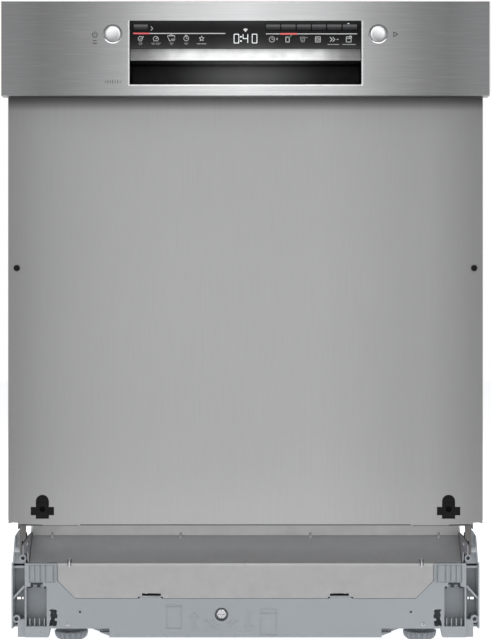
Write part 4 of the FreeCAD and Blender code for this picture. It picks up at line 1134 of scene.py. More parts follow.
for s in (1, -1):
    for z in (0.195, 0.240, 0.285):
        lathe(bm, [(0, 0.0014), (0.0022, 0.0014), (0.0032, 0.0006), (0.0034, -0.0003), (0, -0.0003)], (s * 0.2823, -0.236, z), (s, 0, 0), 20)
bm_obj("arm_rivets", bm, M_screw, "door", 30)

# wound springs under the tub
for s in (1, -1):
    path = []
    n, turns, r = 44 * 14, 44, 0.0075
    for i in range(n + 1):
        t = i / n
        a = 2 * math.pi * turns * t
        path.append((s * 0.272 + r * math.cos(a), -0.112 + 0.134 * t, 0.096 + r * math.sin(a)))
    o1 = tube_mesh("spring_coil_" + ("r" if s > 0 else "l"), [path], 0.00125, M_spring, "cabinet", 7)
    hook = [[(s * 0.272 + 0.0075, -0.112, 0.096), (s * 0.272 + 0.004, -0.1165, 0.096), (s * 0.272, -0.120, 0.099), (s * 0.272, -0.1205, 0.1035)],
            [(s * 0.272 + 0.0075, 0.022, 0.096), (s * 0.272 + 0.004, 0.0265, 0.096), (s * 0.272, 0.030, 0.099), (s * 0.272, 0.0305, 0.1035)]]
    o2 = tube_mesh("spring_hook_" + ("r" if s > 0 else "l"), hook, 0.00125, M_spring, "cabinet", 7)
    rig.replaces(o1, "door_springs")
    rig.replaces(o2, "door_springs")

# ------------------------------------------------------------------ door skin, plugs, panel fixings
refined("door_outer_sheet", M_door, 0.0005)
# thin dark strip along the lower edge of the sheet: painted shadow
bm = bmesh.new()
bm_box(bm, -0.2045, 0.2045, -0.2653, -0.2400, 0.17075, 0.17195)
for s in (1, -1):
    a, c = sorted((s * 0.2070, s * 0.2785))
    bm_box(bm, a, c, -0.2650, -0.2560, 0.1702, 0.1710)
soften(bm, 0.0002, 1)
bm_obj("door_lower_lip", bm, M_dark_painted_shadow, "door")
refined("door_plugs", M_clip, 0.0005)

# ------------------------------------------------------------------ side panels, back, mat
for s, nm in ((1, "side_panel_right"), (-1, "side_panel_left")):
    def hgt(y, z):
        d = bead(y, z, -0.175, 0.015, 0.215, 0.775, 0.0022, 0.006, 0.022)
        d = max(d, bead(y, z, 0.055, 0.245, 0.175, 0.775, 0.0022, 0.006, 0.022))
        for k in range(5):
            zz = 0.275 + k * 0.100
            d -= bead(y, z, -0.150, -0.010, zz, zz + 0.030, 0.0018, 0.005, 0.014) * (1 if d > 0.001 else 0)
            d -= bead(y, z, 0.080, 0.220, zz, zz + 0.030, 0.0018, 0.005, 0.014) * (1 if d > 0.001 else 0)
        return -max(d, 0.0)

    def keep(y, z):
        if y < -0.140 and z < 0.168:
            return False
        if y < 0 and z < 0.150:
            return False
        for y0, z0 in ((-0.212, 0.300), (-0.212, 0.560), (-0.212, 0.740), (0.262, 0.240), (0.262, 0.680)):
            if abs(y - y0) < 0.004 and abs(z - z0) < 0.010:
                return False
        return True
    ys = lines(-0.226, 0.280, 0.006, [-0.140, 0.0] + [a + d for a in (-0.212, 0.262) for d in (-0.004, 0.004)])
    zs = lines(0.116, 0.812, 0.006, [0.150, 0.168] + [a + d for a in (0.240, 0.300, 0.560, 0.680, 0.740) for d in (-0.010, 0.010)])
    o = pressed(nm + "_pressed", ys, zs, hgt, lambda y, z, d, s=s: (s * (0.299 + d), y, z), 0.001, M_side, "cabinet", keep)
    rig.replaces(o, nm)
    bm = bmesh.new()
    x0, x1 = sorted((s * 0.288, s * 0.2981))
    bm_box(bm, x0, x1, -0.190, 0.280, 0.8110, 0.8119)
    bm_box(bm, x0, x1, 0.279, 0.2799, 0.116, 0.811)
    x0, x1 = sorted((s * 0.2945, s * 0.2981))
    bm_box(bm, x0, x1, -0.2259, -0.2250, 0.169, 0.811)
    soften(bm, 0.0002, 1)
    bm_obj(nm + "_folds", bm, M_side, "cabinet", 30)


def hgt(x, z):
    d = 0.0
    for z0, z1 in ((0.756, 0.796), (0.130, 0.196)):
        d = max(d, bead(x, z, -0.225, -0.030, z0, z1, 0.0016, 0.005, 0.012), bead(x, z, 0.030, 0.225, z0, z1, 0.0016, 0.005, 0.012))
    for s in (1, -1):
        a, b = sorted((s * 0.243, s * 0.272))
        for z0 in (0.215, 0.335, 0.505, 0.625):
            d = max(d, bead(x, z, a, b, z0, z0 + 0.095, 0.0016, 0.005, 0.010))
    return d


def keep(x, z):
    if abs(x) < 0.232 and 0.205 < z < 0.745:
        return False
    if abs(x) < 0.140 and 0.130 < z < 0.180:
        return False
    return True


xs = lines(-0.297, 0.297, 0.006, [-0.232, 0.232, -0.140, 0.140])
zs = lines(0.116, 0.810, 0.006, [0.205, 0.745, 0.130, 0.180])
o = pressed("rear_frame_pressed", xs, zs, hgt, lambda x, z, d: (x, 0.2835 + d, z), 0.0015, M_galv, "cabinet", keep)
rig.replaces(o, "rear_frame")
bm = bmesh.new()
bm_box(bm, -0.287, 0.287, 0.266, 0.2822, 0.8085, 0.8099)
for s in (1, -1):
    x0, x1 = sorted((s * 0.232, s * 0.2335))
    bm_box(bm, x0, x1, 0.268, 0.2822, 0.2035, 0.7465)
bm_box(bm, -0.232, 0.232, 0.268, 0.2822, 0.745, 0.7465)
bm_box(bm, -0.232, 0.232, 0.268, 0.2822, 0.2035, 0.205)
soften(bm, 0.0003, 1)
bm_obj("rear_frame_folds", bm, M_galv, "cabinet", 30)
refined("worktop_rail", M_galv, 0.0005)
refined("tub_insulation", M_fleece, 0.0025, 3)
bm = bmesh.new()
# straps that hold the mat to the tub
for y in (-0.110, 0.046, 0.202):
    bm_box(bm, -0.2844, 0.2844, y - 0.009, y + 0.009, 0.8009, 0.8018)
    for k in (1, -1):
        x0, x1 = sorted((k * 0.2834, k * 0.2843))
        bm_box(bm, x0, x1, y - 0.009, y + 0.009, 0.302, 0.8018)
soften(bm, 0.0004, 1)
bm_obj("mat_bands", bm, M_black, "cabinet", 30)

# ------------------------------------------------------------------ tub interior
TS = M_tub
def pocket_side(s):
    def h(y, z):
        d = bead(y, z, -0.170, 0.235, 0.200, 0.440, 0.0016, 0.010, 0.03)
        d = max(d, bead(y, z, -0.170, 0.235, 0.600, 0.690, 0.0016, 0.010, 0.02))
        for k in range(6):
            a = -0.150 + k * 0.066
            d -= bead(y, z, a, a + 0.030, 0.225, 0.415, 0.0012, 0.006, 0.015)
        return max(d, 0.0)
    ys = lines(-0.1985, 0.2608, 0.007)
    zs = lines(0.1700, 0.7938, 0.008, [0.5455, 0.5745, 0.7085, 0.7475])

    def keep(y, z):
        return not (0.5455 < z < 0.5745 or 0.7085 < z < 0.7475)
    pressed("tub_liner_" + ("r" if s > 0 else "l"), ys, zs, h, lambda y, z, d: (s * (0.27680 - d), y, z), 0.0004, TS, "cabinet", keep)


pocket_side(1)
pocket_side(-1)


def h(x, z):
    d = bead(x, z, -0.235, -0.050, 0.230, 0.700, 0.0025, 0.012, 0.03)
    d = max(d, bead(x, z, 0.050, 0.235, 0.230, 0.700, 0.0025, 0.012, 0.03))
    for k in range(5):
        zz = 0.270 + k * 0.085
        d -= bead(x, z, -0.205, -0.080, zz, zz + 0.035, 0.0018, 0.007, 0.017)
        d -= bead(x, z, 0.080, 0.205, zz, zz + 0.035, 0.0018, 0.007, 0.017)
    return max(d, 0.0)


pressed("tub_liner_back", lines(-0.2765, 0.2765, 0.008, [-0.027, 0.027]), lines(0.1700, 0.7938, 0.008), h,
        lambda x, z, d: (x, 0.2608 - d, z), 0.0004, TS, "cabinet", lambda x, z: abs(x) > 0.027)


def h(x, y):
    return bead(x, y, -0.200, 0.200, -0.140, 0.200, 0.0025, 0.020, 0.05)


pressed("tub_liner_top", lines(-0.2765, 0.2765, 0.010, [-0.027, 0.027]), lines(-0.1985, 0.2600, 0.010, [0.010, 0.0]), h,
        lambda x, y, d: (x, y, 0.7938 - d), 0.0004, TS, "cabinet", lambda x, y: not (abs(x) < 0.027 and y > 0.0))
assign(N["tub"], M_tub)
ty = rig.box("tub")[1][1] + 0.0003


def h(x, z):
    d = bead(x, z, -0.215, -0.020, 0.225, 0.725, 0.0028, 0.012, 0.03)
    d = max(d, bead(x, z, 0.020, 0.215, 0.225, 0.725, 0.0028, 0.012, 0.03))
    for k in range(6):
        zz = 0.250 + k * 0.077
        d -= bead(x, z, -0.190, -0.045, zz, zz + 0.034, 0.0022, 0.007, 0.017)
        d -= bead(x, z, 0.045, 0.190, zz, zz + 0.034, 0.0022, 0.007, 0.017)
    return max(d, 0.0)


pressed("tub_back_outer", lines(-0.2315, 0.2315, 0.006), lines(0.2055, 0.7445, 0.006), h, lambda x, z, d: (x, ty + d, z), 0.0003, TS, "cabinet")

# ribbed seal round the opening
bm = bmesh.new()


def seal_sweep(bm, prof, zlo, zhi, xo):
    """Profile of (out, forward) offsets swept up, across and down."""
    pts = [(-xo, zlo), (-xo, zhi), (xo, zhi), (xo, zlo)]
    dirs = [(-1, 0), (-1, 1), (1, 1), (1, 0)]
    rings = []
    for (x, z), (dx, dz) in zip(pts, dirs):
        rings.append([bm.verts.new((x + dx * a, -0.2000 - b, z + dz * a)) for a, b in prof])
    n = len(prof)
    for p, q in zip(rings, rings[1:]):
        for j in range(n):
            k = (j + 1) % n
            bm.faces.new((p[j], p[k], q[k], q[j]))
    bm.faces.new(rings[0])
    bm.faces.new(list(reversed(rings[-1])))


seal_sweep(bm, [(-0.0033, 0.0), (-0.0035, 0.0030), (-0.0030, 0.0036), (-0.0034, 0.0044), (-0.0030, 0.0078), (-0.0018, 0.0092), (0.0, 0.0096),
                (0.0018, 0.0092), (0.0030, 0.0078), (0.0034, 0.0044), (0.0030, 0.0036), (0.0035, 0.0030), (0.0033, 0.0)], 0.1675, 0.7968, 0.2845)
soften(bm, 0.0003, 1, 50)
o = bm_obj("seal_profile", bm, M_rubber, "cabinet", 40)
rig.replaces(o, "tub_seal")

# ------------------------------------------------------------------ door inner skin
def h(x, z):
    d = bead(x, z, -0.262, 0.262, 0.205, 0.765, 0.0028, 0.010, 0.03)
    d -= bead(x, z, -0.232, 0.232, 0.515, 0.735, 0.0016, 0.008, 0.03)
    d -= bead(x, z, -0.232, -0.110, 0.235, 0.490, 0.0016, 0.008, 0.02)
    d -= bead(x, z, 0.110, 0.232, 0.235, 0.490, 0.0016, 0.008, 0.02)
    d += bead(x, z, -0.200, 0.200, 0.560, 0.585, 0.0014, 0.006, 0.012)
    d += bead(x, z, -0.200, 0.200, 0.620, 0.645, 0.0014, 0.006, 0.012)
    d += bead(x, z, -0.200, 0.200, 0.680, 0.705, 0.0014, 0.006, 0.012)
    return max(d, 0.0)


xs = lines(-0.290, 0.290, 0.007, [-0.082, 0.082, -0.015, 0.015])
zs = lines(0.174, 0.806, 0.007, [0.335, 0.480, 0.7985])
o = pressed("door_inner_pressed", xs, zs, h, lambda x, z, d: (x, -0.210 + d, z), 0.001, M_tub, "door",
            lambda x, z: not (abs(x) < 0.082 and 0.335 < z < 0.480) and not (abs(x) < 0.015 and z > 0.7985))
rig.replaces(o, "door_inner_sheet")
bm = bmesh.new()
for s in (1, -1):
    x0, x1 = sorted((s * 0.289, s * 0.2899))
    bm_box(bm, x0, x1, -0.234, -0.2108, 0.174, 0.706)
bm_box(bm, -0.2889, 0.2889, -0.2205, -0.2108, 0.174, 0.175)
soften(bm, 0.0002, 1)
bm_obj("door_inner_folds", bm, M_tub, "door", 30)

# ------------------------------------------------------------------ remaining CAD nodes with soft edges, until finer pieces stand for them
REST = {"sump": (M_inner, 0.001), "filter_plate": (M_tub, 0.0003), "filter_cylinder": (M_inner, 0.0008), "water_softener": (M_light, 0.002),
        "salt_cap": (M_light, 0.001), "circulation_pump": (M_black, 0.0015), "drain_pump": (M_light, 0.0015),
        "heat_exchanger": (M_light, 0.0012), "inlet_valve": (M_light, 0.001), "power_module": (M_black, 0.001),
        "feed_pipe": (M_inner, 0.0015), "basket_rails": (M_shiny, 0.0004), "latch_striker": (M_shiny, 0.0004),
        "door_lock": (M_black, 0.001), "dispenser_body": (M_inner, 0.001), "control_board": (M_pcb, 0.0004),
        "detergent_lid": (M_inner, 0.0007), "rinse_cap": (M_inner, 0.0006), "upper_slides": (M_shiny, 0.0004),
        "lower_spray_arm": (M_inner, 0.0015), "upper_spray_arm": (M_inner, 0.0015), "lower_wheels_front": (M_wheel, 0.0005),
        "lower_wheels_rear": (M_wheel, 0.0005)}
for node, (m, w) in REST.items():
    refined(node, m, w)
# ------------------------------------------------------------------ finer pieces on the inner fittings
def inside(x, z, x0, x1, z0, z1, m=0.0):
    return x0 + m < x < x1 - m and z0 + m < z < z1 - m


# dispenser: frame bead, lid ribs and latch, rinse flap window with level marks
lo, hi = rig.box("dispenser_body")
bm = bmesh.new()
yf = lo[1] if abs(lo[1]) < abs(hi[1]) else hi[1]
ribbon(bm, [(lo[0] + 0.003, lo[2] + 0.003), (hi[0] - 0.003, lo[2] + 0.003), (hi[0] - 0.003, hi[2] - 0.003), (lo[0] + 0.003, hi[2] - 0.003)],
       0.0016, -0.2004, -0.1992, True)
bm_box(bm, -0.0022, 0.0105, -0.2002, -0.1955, 0.4240, 0.4460)
for k in range(4):
    bm_box(bm, -0.0010, 0.0093, -0.1956, -0.1950, 0.4270 + k * 0.0045, 0.4285 + k * 0.0045)
soften(bm, 0.0003, 1)
bm_obj("dispenser_frame_bead", bm, M_inner, "door", 30)
bm = bmesh.new()
for k in range(5):
    bm_box(bm, -0.0640, -0.0120, -0.1968, -0.1958, 0.4170 + k * 0.0085, 0.4186 + k * 0.0085)
ribbon(bm, [(-0.0695, 0.4030), (-0.0065, 0.4030), (-0.0065, 0.4670), (-0.0695, 0.4670)], 0.0012, -0.1968, -0.1960, True)
soften(bm, 0.0002, 1)
bm_obj("detergent_lid_ribs", bm, M_inner, body_of["detergent_lid"], 30)
bm, bm2, bm3 = bmesh.new(), bmesh.new(), bmesh.new()
lathe(bm, [(0, -0.0004), (0.0036, -0.0004), (0.0050, 0.0), (0.0050, 0.0004), (0, 0.0004)], (0.042, -0.1966, 0.4440), (0, -1, 0), 32)
ribbon(bm2, [(0.0190, 0.4050), (0.0650, 0.4050), (0.0650, 0.4550), (0.0190, 0.4550)], 0.0012, -0.1973, -0.1965, True)
bm_box(bm2, 0.0330, 0.0510, -0.1973, -0.1950, 0.4080, 0.4110)
for k in range(6):
    bm_box(bm3, 0.0260 + k * 0.0060, 0.0266 + k * 0.0060, -0.19735, -0.19695, 0.4230, 0.4230 + 0.0030 + 0.0009 * k)
bm_obj("rinse_sight_lens", bm, M_black, body_of["rinse_cap"], 30)
bm_obj("rinse_cap_bead", bm2, M_inner, body_of["rinse_cap"], 30)
bm_obj("rinse_level_marks", bm3, M_black, body_of["rinse_cap"])

# filter: perforated plate, slotted cylinder, rings on the cylinder top
lo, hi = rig.box("filter_plate")
bm = bmesh.new()
z = hi[2]
nx, ny = int((hi[0] - lo[0]) / 0.0052), int((hi[1] - lo[1]) / 0.0046)
# the holes are black hexagons on the plate: painted shade
for j in range(1, ny):
    for i in range(1, nx):
        x, y = lo[0] + i * 0.0052 + (0.0026 if j % 2 else 0.0), lo[1] + j * 0.0046
        if x > hi[0] - 0.005 or math.hypot(x, y - 0.028) < 0.0185 or math.hypot(x - 0.078, y - 0.052) < 0.039:
            continue
        cx = min(max(x, lo[0] + 0.044), hi[0] - 0.044)
        cy = min(max(y, lo[1] + 0.044), hi[1] - 0.044)
        if math.hypot(x - cx, y - cy) > 0.040:
            continue
        vs = [bm.verts.new((x + 0.0011 * math.cos(a), y + 0.0011 * math.sin(a), z + 0.00008)) for a in [k * math.pi / 3 for k in range(6)]]
        vb = [bm.verts.new((v.co.x, v.co.y, z - 0.0002)) for v in vs]
        bm.faces.new(vs)
        bm.faces.new(vb[::-1])
        for k in range(6):
            bm.faces.new((vb[k], vb[(k + 1) % 6], vs[(k + 1) % 6], vs[k]))
bm_obj("filter_perforation", bm, M_black, body_of["filter_plate"])
bm, bm2 = bmesh.new(), bmesh.new()
# the slots are black bars on the cylinder: painted shade
for k in range(40):
    a = k * math.pi / 20
    c, s = math.cos(a), math.sin(a)
    for z0, z1 in ((0.100, 0.126), (0.130, 0.156)):
        p = [(0.078 + r * c - w * s, 0.052 + r * s + w * c) for r, w in ((0.0330, -0.0010), (0.03345, -0.0010), (0.03345, 0.0010), (0.0330, 0.0010))]
        b_ = [bm.verts.new((q[0], q[1], z0)) for q in p]
        t_ = [bm.verts.new((q[0], q[1], z1)) for q in p]
        bm.faces.new(b_[::-1])
        bm.faces.new(t_)
        for i in range(4):
            bm.faces.new((b_[i], b_[(i + 1) % 4], t_[(i + 1) % 4], t_[i]))
for r in (0.0215, 0.0270):
    lathe(bm2, [(r, 0.0), (r + 0.0004, 0.0005), (r + 0.0010, 0.0005), (r + 0.0014, 0.0), (r, 0.0)], (0.078, 0.052, 0.1634), (0, 0, 1), 48)
bm_obj("filter_cylinder_mesh", bm, M_black, body_of["filter_cylinder"])
bm_obj("filter_cylinder_rings", bm2, M_inner, body_of["filter_cylinder"], 30)

# salt cap ridges
bm = bmesh.new()
for k in range(36):
    a = k * math.pi / 18
    c, s = math.cos(a), math.sin(a)
    p = [(-0.175 + r * c - w * s, 0.135 + r * s + w * c) for r, w in ((0.0396, -0.0014), (0.0404, -0.0008), (0.0404, 0.0008), (0.0396, 0.0014))]
    b_ = [bm.verts.new((q[0], q[1], 0.1545)) for q in p]
    t_ = [bm.verts.new((q[0], q[1], 0.1595)) for q in p]
    bm.faces.new(b_[::-1])
    bm.faces.new(t_)
    for i in range(4):
        bm.faces.new((b_[i], b_[(i + 1) % 4], t_[(i + 1) % 4], t_[i]))
for r in (0.0225, 0.0345):
    lathe(bm, [(r, -0.0002), (r + 0.0005, 0.0006), (r + 0.0012, 0.0006), (r + 0.0017, -0.0002), (r, -0.0002)], (-0.175, 0.135, 0.160), (0, 0, 1), 48)
bm_obj("salt_cap_ridges", bm, M_light, body_of["salt_cap"], 30)

# rear sockets: thread crests on the inlet, barbs on the drain spigot
bm, bm2 = bmesh.new(), bmesh.new()
for k in range(9):
    lathe(bm, [(0.01300, 0.0), (0.01345, 0.0005), (0.01345, 0.0009), (0.01300, 0.0015), (0.01300, 0.0)], (0.221, 0.2625 + k * 0.0023, 0.076), (0, 1, 0), 40)
for y in (0.262, 0.269, 0.276):
    lathe(bm2, [(0.0093, 0.0), (0.0102, 0.0004), (0.0095, 0.0048), (0.0093, 0.0048), (0.0093, 0.0)], (-0.230, y, 0.073), (0, 1, 0), 40)
bm_obj("inlet_thread_crests", bm, M_light, body_of["inlet_valve"], 30)
bm_obj("drain_spigot_barbs", bm2, M_light, body_of["heat_exchanger"], 30)

# pump cooling ribs and lids
bm = bmesh.new()
for k in range(12):
    x = 0.140 + k * 0.0028
    lathe(bm, [(0.0326, 0.0), (0.0338, 0.0002), (0.0338, 0.0010), (0.0326, 0.0012), (0.0326, 0.0)], (x, -0.106, 0.103), (1, 0, 0), 40)
for x in (0.034, 0.070, 0.100, 0.128):
    lathe(bm, [(0.0396, 0.0), (0.0410, 0.0004), (0.0410, 0.0022), (0.0396, 0.0026), (0.0396, 0.0)], (x, -0.106, 0.103), (1, 0, 0), 48)
bm_obj("circulation_pump_ribs", bm, M_black, body_of["circulation_pump"], 30)
bm = bmesh.new()
for k in range(8):
    lathe(bm, [(0.0196, 0.0), (0.0207, 0.0003), (0.0207, 0.0015), (0.0196, 0.0018), (0.0196, 0.0)], (0.178 + k * 0.0035, 0.040, 0.096), (1, 0, 0), 40)
bm_obj("drain_pump_ribs", bm, M_light, body_of["drain_pump"], 30)

# power module lid ribs and socket frame
bm = bmesh.new()
for k in range(10):
    x = 0.074 + k * 0.0104
    bm_box(bm, x, x + 0.003, 0.158, 0.255, 0.0597, 0.0608)
ribbon(bm, [(0.0948, 0.0366), (0.1272, 0.0366), (0.1272, 0.0594), (0.0948, 0.0594)], 0.0014, 0.2805, 0.2817, True)
soften(bm, 0.0002, 1)
bm_obj("power_module_ribs", bm, M_black, body_of["power_module"], 30)

# ------------------------------------------------------------------ baskets in round wire
def bend(points, r, n=4):
    """Polyline with its inner corners rounded to radius r."""
    P = [Vector(p) for p in points]
    out = [P[0]]
    for a, b, c in zip(P, P[1:], P[2:]):
        u, v = (a - b), (c - b)
        k = min(r, u.length * 0.45, v.length * 0.45)
        p0, p1 = b + u.normalized() * k, b + v.normalized() * k
        for i in range(n + 1):
            t = i / n
            out.append(p0 * (1 - t) ** 2 + b * 2 * t * (1 - t) + p1 * t * t)
    out.append(P[-1])
    return out


def ring_path(pts, r, n=4):
    """Closed ring with rounded corners, returned as an open path that meets itself."""
    P = [Vector(p) for p in pts]
    m = (P[0] + P[1]) / 2
    return bend([m] + P[1:] + [P[0], m], r, n)


def spread(a, b, n):
    return [a + (b - a) * i / (n - 1) for i in range(n)]


def scale(paths):
    return [[Vector(p) * MM for p in q] for q in paths]


def wire_basket(tag, body, node, X, y0, y1, z, top, front_top, rings, mat):
    xs_, yb_, yf = X - 2.4, y1 + 2.2, y0 + 2.3
    thin, frame_ = [], []
    for y in spread(y0 + 12, y1 - 12, 11):
        t = top if y > y0 + 45 else front_top + (top - front_top) * (y - yf) / 45.0
        thin.append(bend([(-xs_, y, t), (-xs_, y, z + 4.0), (xs_, y, z + 4.0), (xs_, y, t)], 9))
    for x in spread(-X + 14, X - 14, 14):
        thin.append(bend([(x, yf, front_top), (x, yf, z + 1.3), (x, yb_, z + 1.3), (x, yb_, top)], 9))
    for zz in rings:
        thin.append(ring_path([(-xs_ + 0.5, yf, zz), (xs_ - 0.5, yf, zz), (xs_ - 0.5, yb_, zz), (-xs_ + 0.5, yb_, zz)], 16))
    frame_.append(ring_path([(-xs_, yf, front_top), (xs_, yf, front_top), (xs_, yf + 45, top), (xs_, yb_, top), (-xs_, yb_, top), (-xs_, yf + 45, top)], 15))
    frame_.append(ring_path([(-xs_ + 2, yf + 2, z + 2.6), (xs_ - 2, yf + 2, z + 2.6), (xs_ - 2, yb_ - 2, z + 2.6), (-xs_ + 2, yb_ - 2, z + 2.6)], 18))
    o1 = tube_mesh(tag + "_wires", scale(thin), 0.0016, mat, body, 8)
    o2 = tube_mesh(tag + "_frame", scale(frame_), 0.0025, mat, body, 10)
    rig.replaces(o1, node)
    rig.replaces(o2, node)


def combs(name, body, rows, r=0.0014, lean=3.0):
    paths = []
    for x0, x1, y, z0, h, n in rows:
        paths.append([(x0, y, z0 + 1.4), (x1, y, z0 + 1.4)])
        for x in spread(x0 + 1.4, x1 - 1.4, n):
            paths.append(bend([(x, y, z0 + 1.4), (x, y + lean * 0.1, z0 + h * 0.35), (x, y + lean, z0 + h)], 8, 3))
    tips = bmesh.new()
    for x0, x1, y, z0, h, n in rows:
        for x in spread(x0 + 1.4, x1 - 1.4, n):
            lathe(tips, [(0, 0.0020), (0.0010, 0.0018), (0.0018, 0.0008), (0.0019, -0.0010), (0.0014, -0.0030), (0, -0.0030)],
                  (x * MM, (y + lean) * MM, (z0 + h) * MM), (0, 0, 1), 10)
    tube_mesh(name, scale(paths), r, M_coat, body, 7)
    bm_obj(name + "_tips", tips, M_wheel, body, 40)


wire_basket("lower_basket", "lower_basket", "lower_basket", 248.0, -150.0, 222.0, 203.0, 332.6, 318.0, (228.0, 252.0, 292.0), M_coat)
combs("lower_tines", "lower_basket", [(-222, -22, y, 207.6, 66, 9) for y in (62.0, 112.0, 162.0)] +
      [(22, 222, y, 207.6, 52, 9) for y in (62.0, 112.0, 162.0)] + [(22, 222, y, 207.6, 40, 7) for y in (-30.0, -92.0)])
bm = bmesh.new()
for s in (1, -1):
    for y in (-0.058, 0.176):
        x0, x1 = sorted((s * 0.2460, s * 0.2503))
        bm_prism(bm, [(y - 0.009, 0.2040), (y - 0.0075, 0.178), (y - 0.004, 0.176), (y + 0.004, 0.176), (y + 0.0075, 0.178), (y + 0.009, 0.2040)],
                 x0, x1, "yz")
        x0, x1 = sorted((s * 0.2440, s * 0.2462))
        bm_box(bm, x0, x1, y - 0.016, y + 0.016, 0.2025, 0.212)
for x0 in (-0.231, -0.014):
    bm_box(bm, x0, x0 + 0.005, -0.025, -0.015, 0.2070, 0.2156)
bm_box(bm, -0.070, 0.070, -0.1600, -0.1523, 0.312, 0.318)
bm_box(bm, -0.070, 0.070, -0.1600, -0.1585, 0.290, 0.3125)
for s in (1, -1):
    x0, x1 = sorted((s * 0.060, s * 0.070))
    bm_box(bm, x0, x1, -0.1590, -0.1523, 0.290, 0.3125)
soften(bm, 0.0008)
bm_obj("lower_basket_fittings", bm, M_wheel, "lower_basket", 35)
bm = bmesh.new()
for s in (1, -1):
    for y in (-0.058, 0.176):
        lathe(bm, [(0, 0.0), (0.0030, 0.0), (0.0030, 0.0100), (0.0046, 0.0101), (0.0044, 0.0112), (0.0028, 0.0116), (0, 0.0117)],
              (s * 0.2500, y, 0.184), (s, 0, 0), 24)
bm_obj("lower_basket_axles", bm, M_wheel, "lower_basket", 35)
paths = [[(-0.232, -0.020, 0.211), (-0.008, -0.020, 0.211)]]
for x in spread(-0.218, -0.022, 9):
    paths.append([(x, -0.020, 0.211), (x, -0.0205, 0.240), (x, -0.020, 0.2765)])
o = tube_mesh("folding_tines_wire", paths, 0.0018, M_coat, "folding_tines", 8)
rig.replaces(o, "folding_tines")

wire_basket("upper_basket", "upper_basket", "upper_basket", 236.0, -178.0, 208.0, 490.0, 595.6, 566.0, (512.0, 532.0, 562.0), M_coat)
combs("upper_tines", "upper_basket", [(a, b, y, 494.6, 48, 5) for y in (-110.0, -40.0, 40.0, 110.0, 170.0) for a, b in ((-214, -118), (118, 214))])
bm = bmesh.new()
for s in (1, -1):
    x0, x1 = sorted((s * 0.2621, s * 0.2695))
    bm_box(bm, x0, x1, -0.1840, 0.1960, 0.5536, 0.5664)
    x0, x1 = sorted((s * 0.2360, s * 0.2622))
    for ya, yb2 in ((-0.128, -0.098), (0.112, 0.142)):
        bm_box(bm, x0, x1, ya, yb2, 0.5536, 0.5664)
soften(bm, 0.0007)
bm_obj("upper_basket_runners", bm, M_shiny, "upper_basket", 35)
bm = bmesh.new()
bm_box(bm, -0.009, 0.009, 0.030, 0.232, 0.4833, 0.4899)
bm_box(bm, -0.009, 0.009, 0.221, 0.232, 0.4705, 0.4840)
bm_box(bm, -0.070, 0.070, -0.1859, -0.1803, 0.561, 0.566)
bm_box(bm, -0.070, 0.070, -0.1859, -0.1845, 0.545, 0.5615)
for s in (1, -1):
    x0, x1 = sorted((s * 0.060, s * 0.070))
    bm_box(bm, x0, x1, -0.1850, -0.1803, 0.545, 0.5615)
    for y in (-0.113, 0.127):
        x0, x1 = sorted((s * 0.2330, s * 0.2375))
        bm_box(bm, x0, x1, y - 0.030, y + 0.030, 0.540, 0.586)
soften(bm, 0.0009)
lathe(bm, [(0, 0.0075), (0.0200, 0.0074), (0.0220, 0.0055), (0.0220, 0.0012), (0.0210, 0.0), (0.0099, 0.0), (0.0099, -0.0088), (0, -0.0088)],
      (0, 0.028, 0.4826), (0, 0, 1), 40)
lathe(bm, [(0, 0.0), (0.0079, 0.0), (0.0079, 0.0026), (0.0070, 0.0032), (0.0052, 0.0032), (0.0052, 0.0006), (0, 0.0006)], (0, 0.2319, 0.476), (0, 1, 0), 32)
for y in (0.060, 0.090, 0.120, 0.150, 0.180, 0.205):
    bm_box(bm, -0.0094, 0.0094, y, y + 0.0016, 0.4836, 0.4904)
bm_obj("upper_basket_feed", bm, M_wheel, "upper_basket", 35)

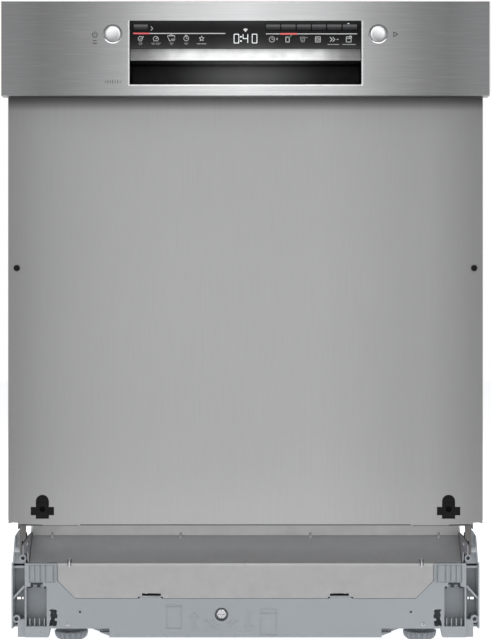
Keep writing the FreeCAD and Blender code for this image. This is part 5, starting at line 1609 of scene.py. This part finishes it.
# cutlery drawer with pegs and a grip edge
refined("cutlery_drawer", M_coat, 0.0003, 1)
pegs = []
for x in spread(-0.240, -0.168, 4) + spread(-0.132, -0.070, 4) + spread(0.070, 0.132, 4) + spread(0.168, 0.240, 4):
    for y in spread(-0.160, 0.190, 15):
        pegs.append([(x, y, 0.7145), (x, y, 0.7235), (x + 0.0012, y, 0.7290)])
tube_mesh("cutlery_pegs", pegs, 0.0011, M_coat, "cutlery_drawer", 6)
bm = bmesh.new()
bm_box(bm, -0.0585, 0.0585, -0.1868, -0.1835, 0.7392, 0.7430)
soften(bm, 0.0008)
bm_obj("cutlery_grip", bm, M_wheel, "cutlery_drawer", 35)

# spray arms: soft body, nozzles and hub ribs
for nm, zt_, xs_, hub, zc in (("lower_spray_arm", 0.190, (0.070, 0.110, 0.150, 0.188), 0.027, 0.193), ("upper_spray_arm", 0.479, (0.065, 0.105, 0.145, 0.170), 0.024, 0.4822)):
    bm = bmesh.new()
    for s in (1, -1):
        for k, x in enumerate(xs_):
            lathe(bm, [(0.0016, -0.0004), (0.0016, 0.0010), (0.0030, 0.0013), (0.0050, 0.0006), (0.0060, -0.0002), (0.0016, -0.0004)],
                  (s * x, 0.028 + s * 0.003, zt_), (0, 0, 1), 20)
            x0, x1 = sorted((s * (x + 0.012), s * (x + 0.024)))
            bm_prism(bm, [(x0, 0.028 - 0.0012), (x1, 0.028 - 0.0012), (x1, 0.028 + 0.0012), (x0, 0.028 + 0.0012)], zt_ - 0.0002, zt_ + 0.0010, "xy")
    for k in range(8):
        a = math.pi / 4 * k
        cx, cy = 0.6 * hub * math.cos(a), 0.028 + 0.6 * hub * math.sin(a)
        u = (math.cos(a), math.sin(a))
        v = (-u[1], u[0])
        pts = [(cx + u[0] * i * hub * 0.28 + v[0] * j * 0.0009, cy + u[1] * i * hub * 0.28 + v[1] * j * 0.0009) for i, j in ((-1, -1), (1, -1), (1, 1), (-1, 1))]
        bm_prism(bm, pts, zc - 0.0003, zc + 0.0005 if nm[0] == "u" else zc + 0.0012, "xy")
    bm_obj(nm + "_nozzles", bm, M_wheel, nm, 35)

json.dump({"cad_box": [list(map(float, p)) for p in CAD_BOX], "visual_box": [list(map(float, p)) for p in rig.bounds()]},
          open("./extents.json", "w"))
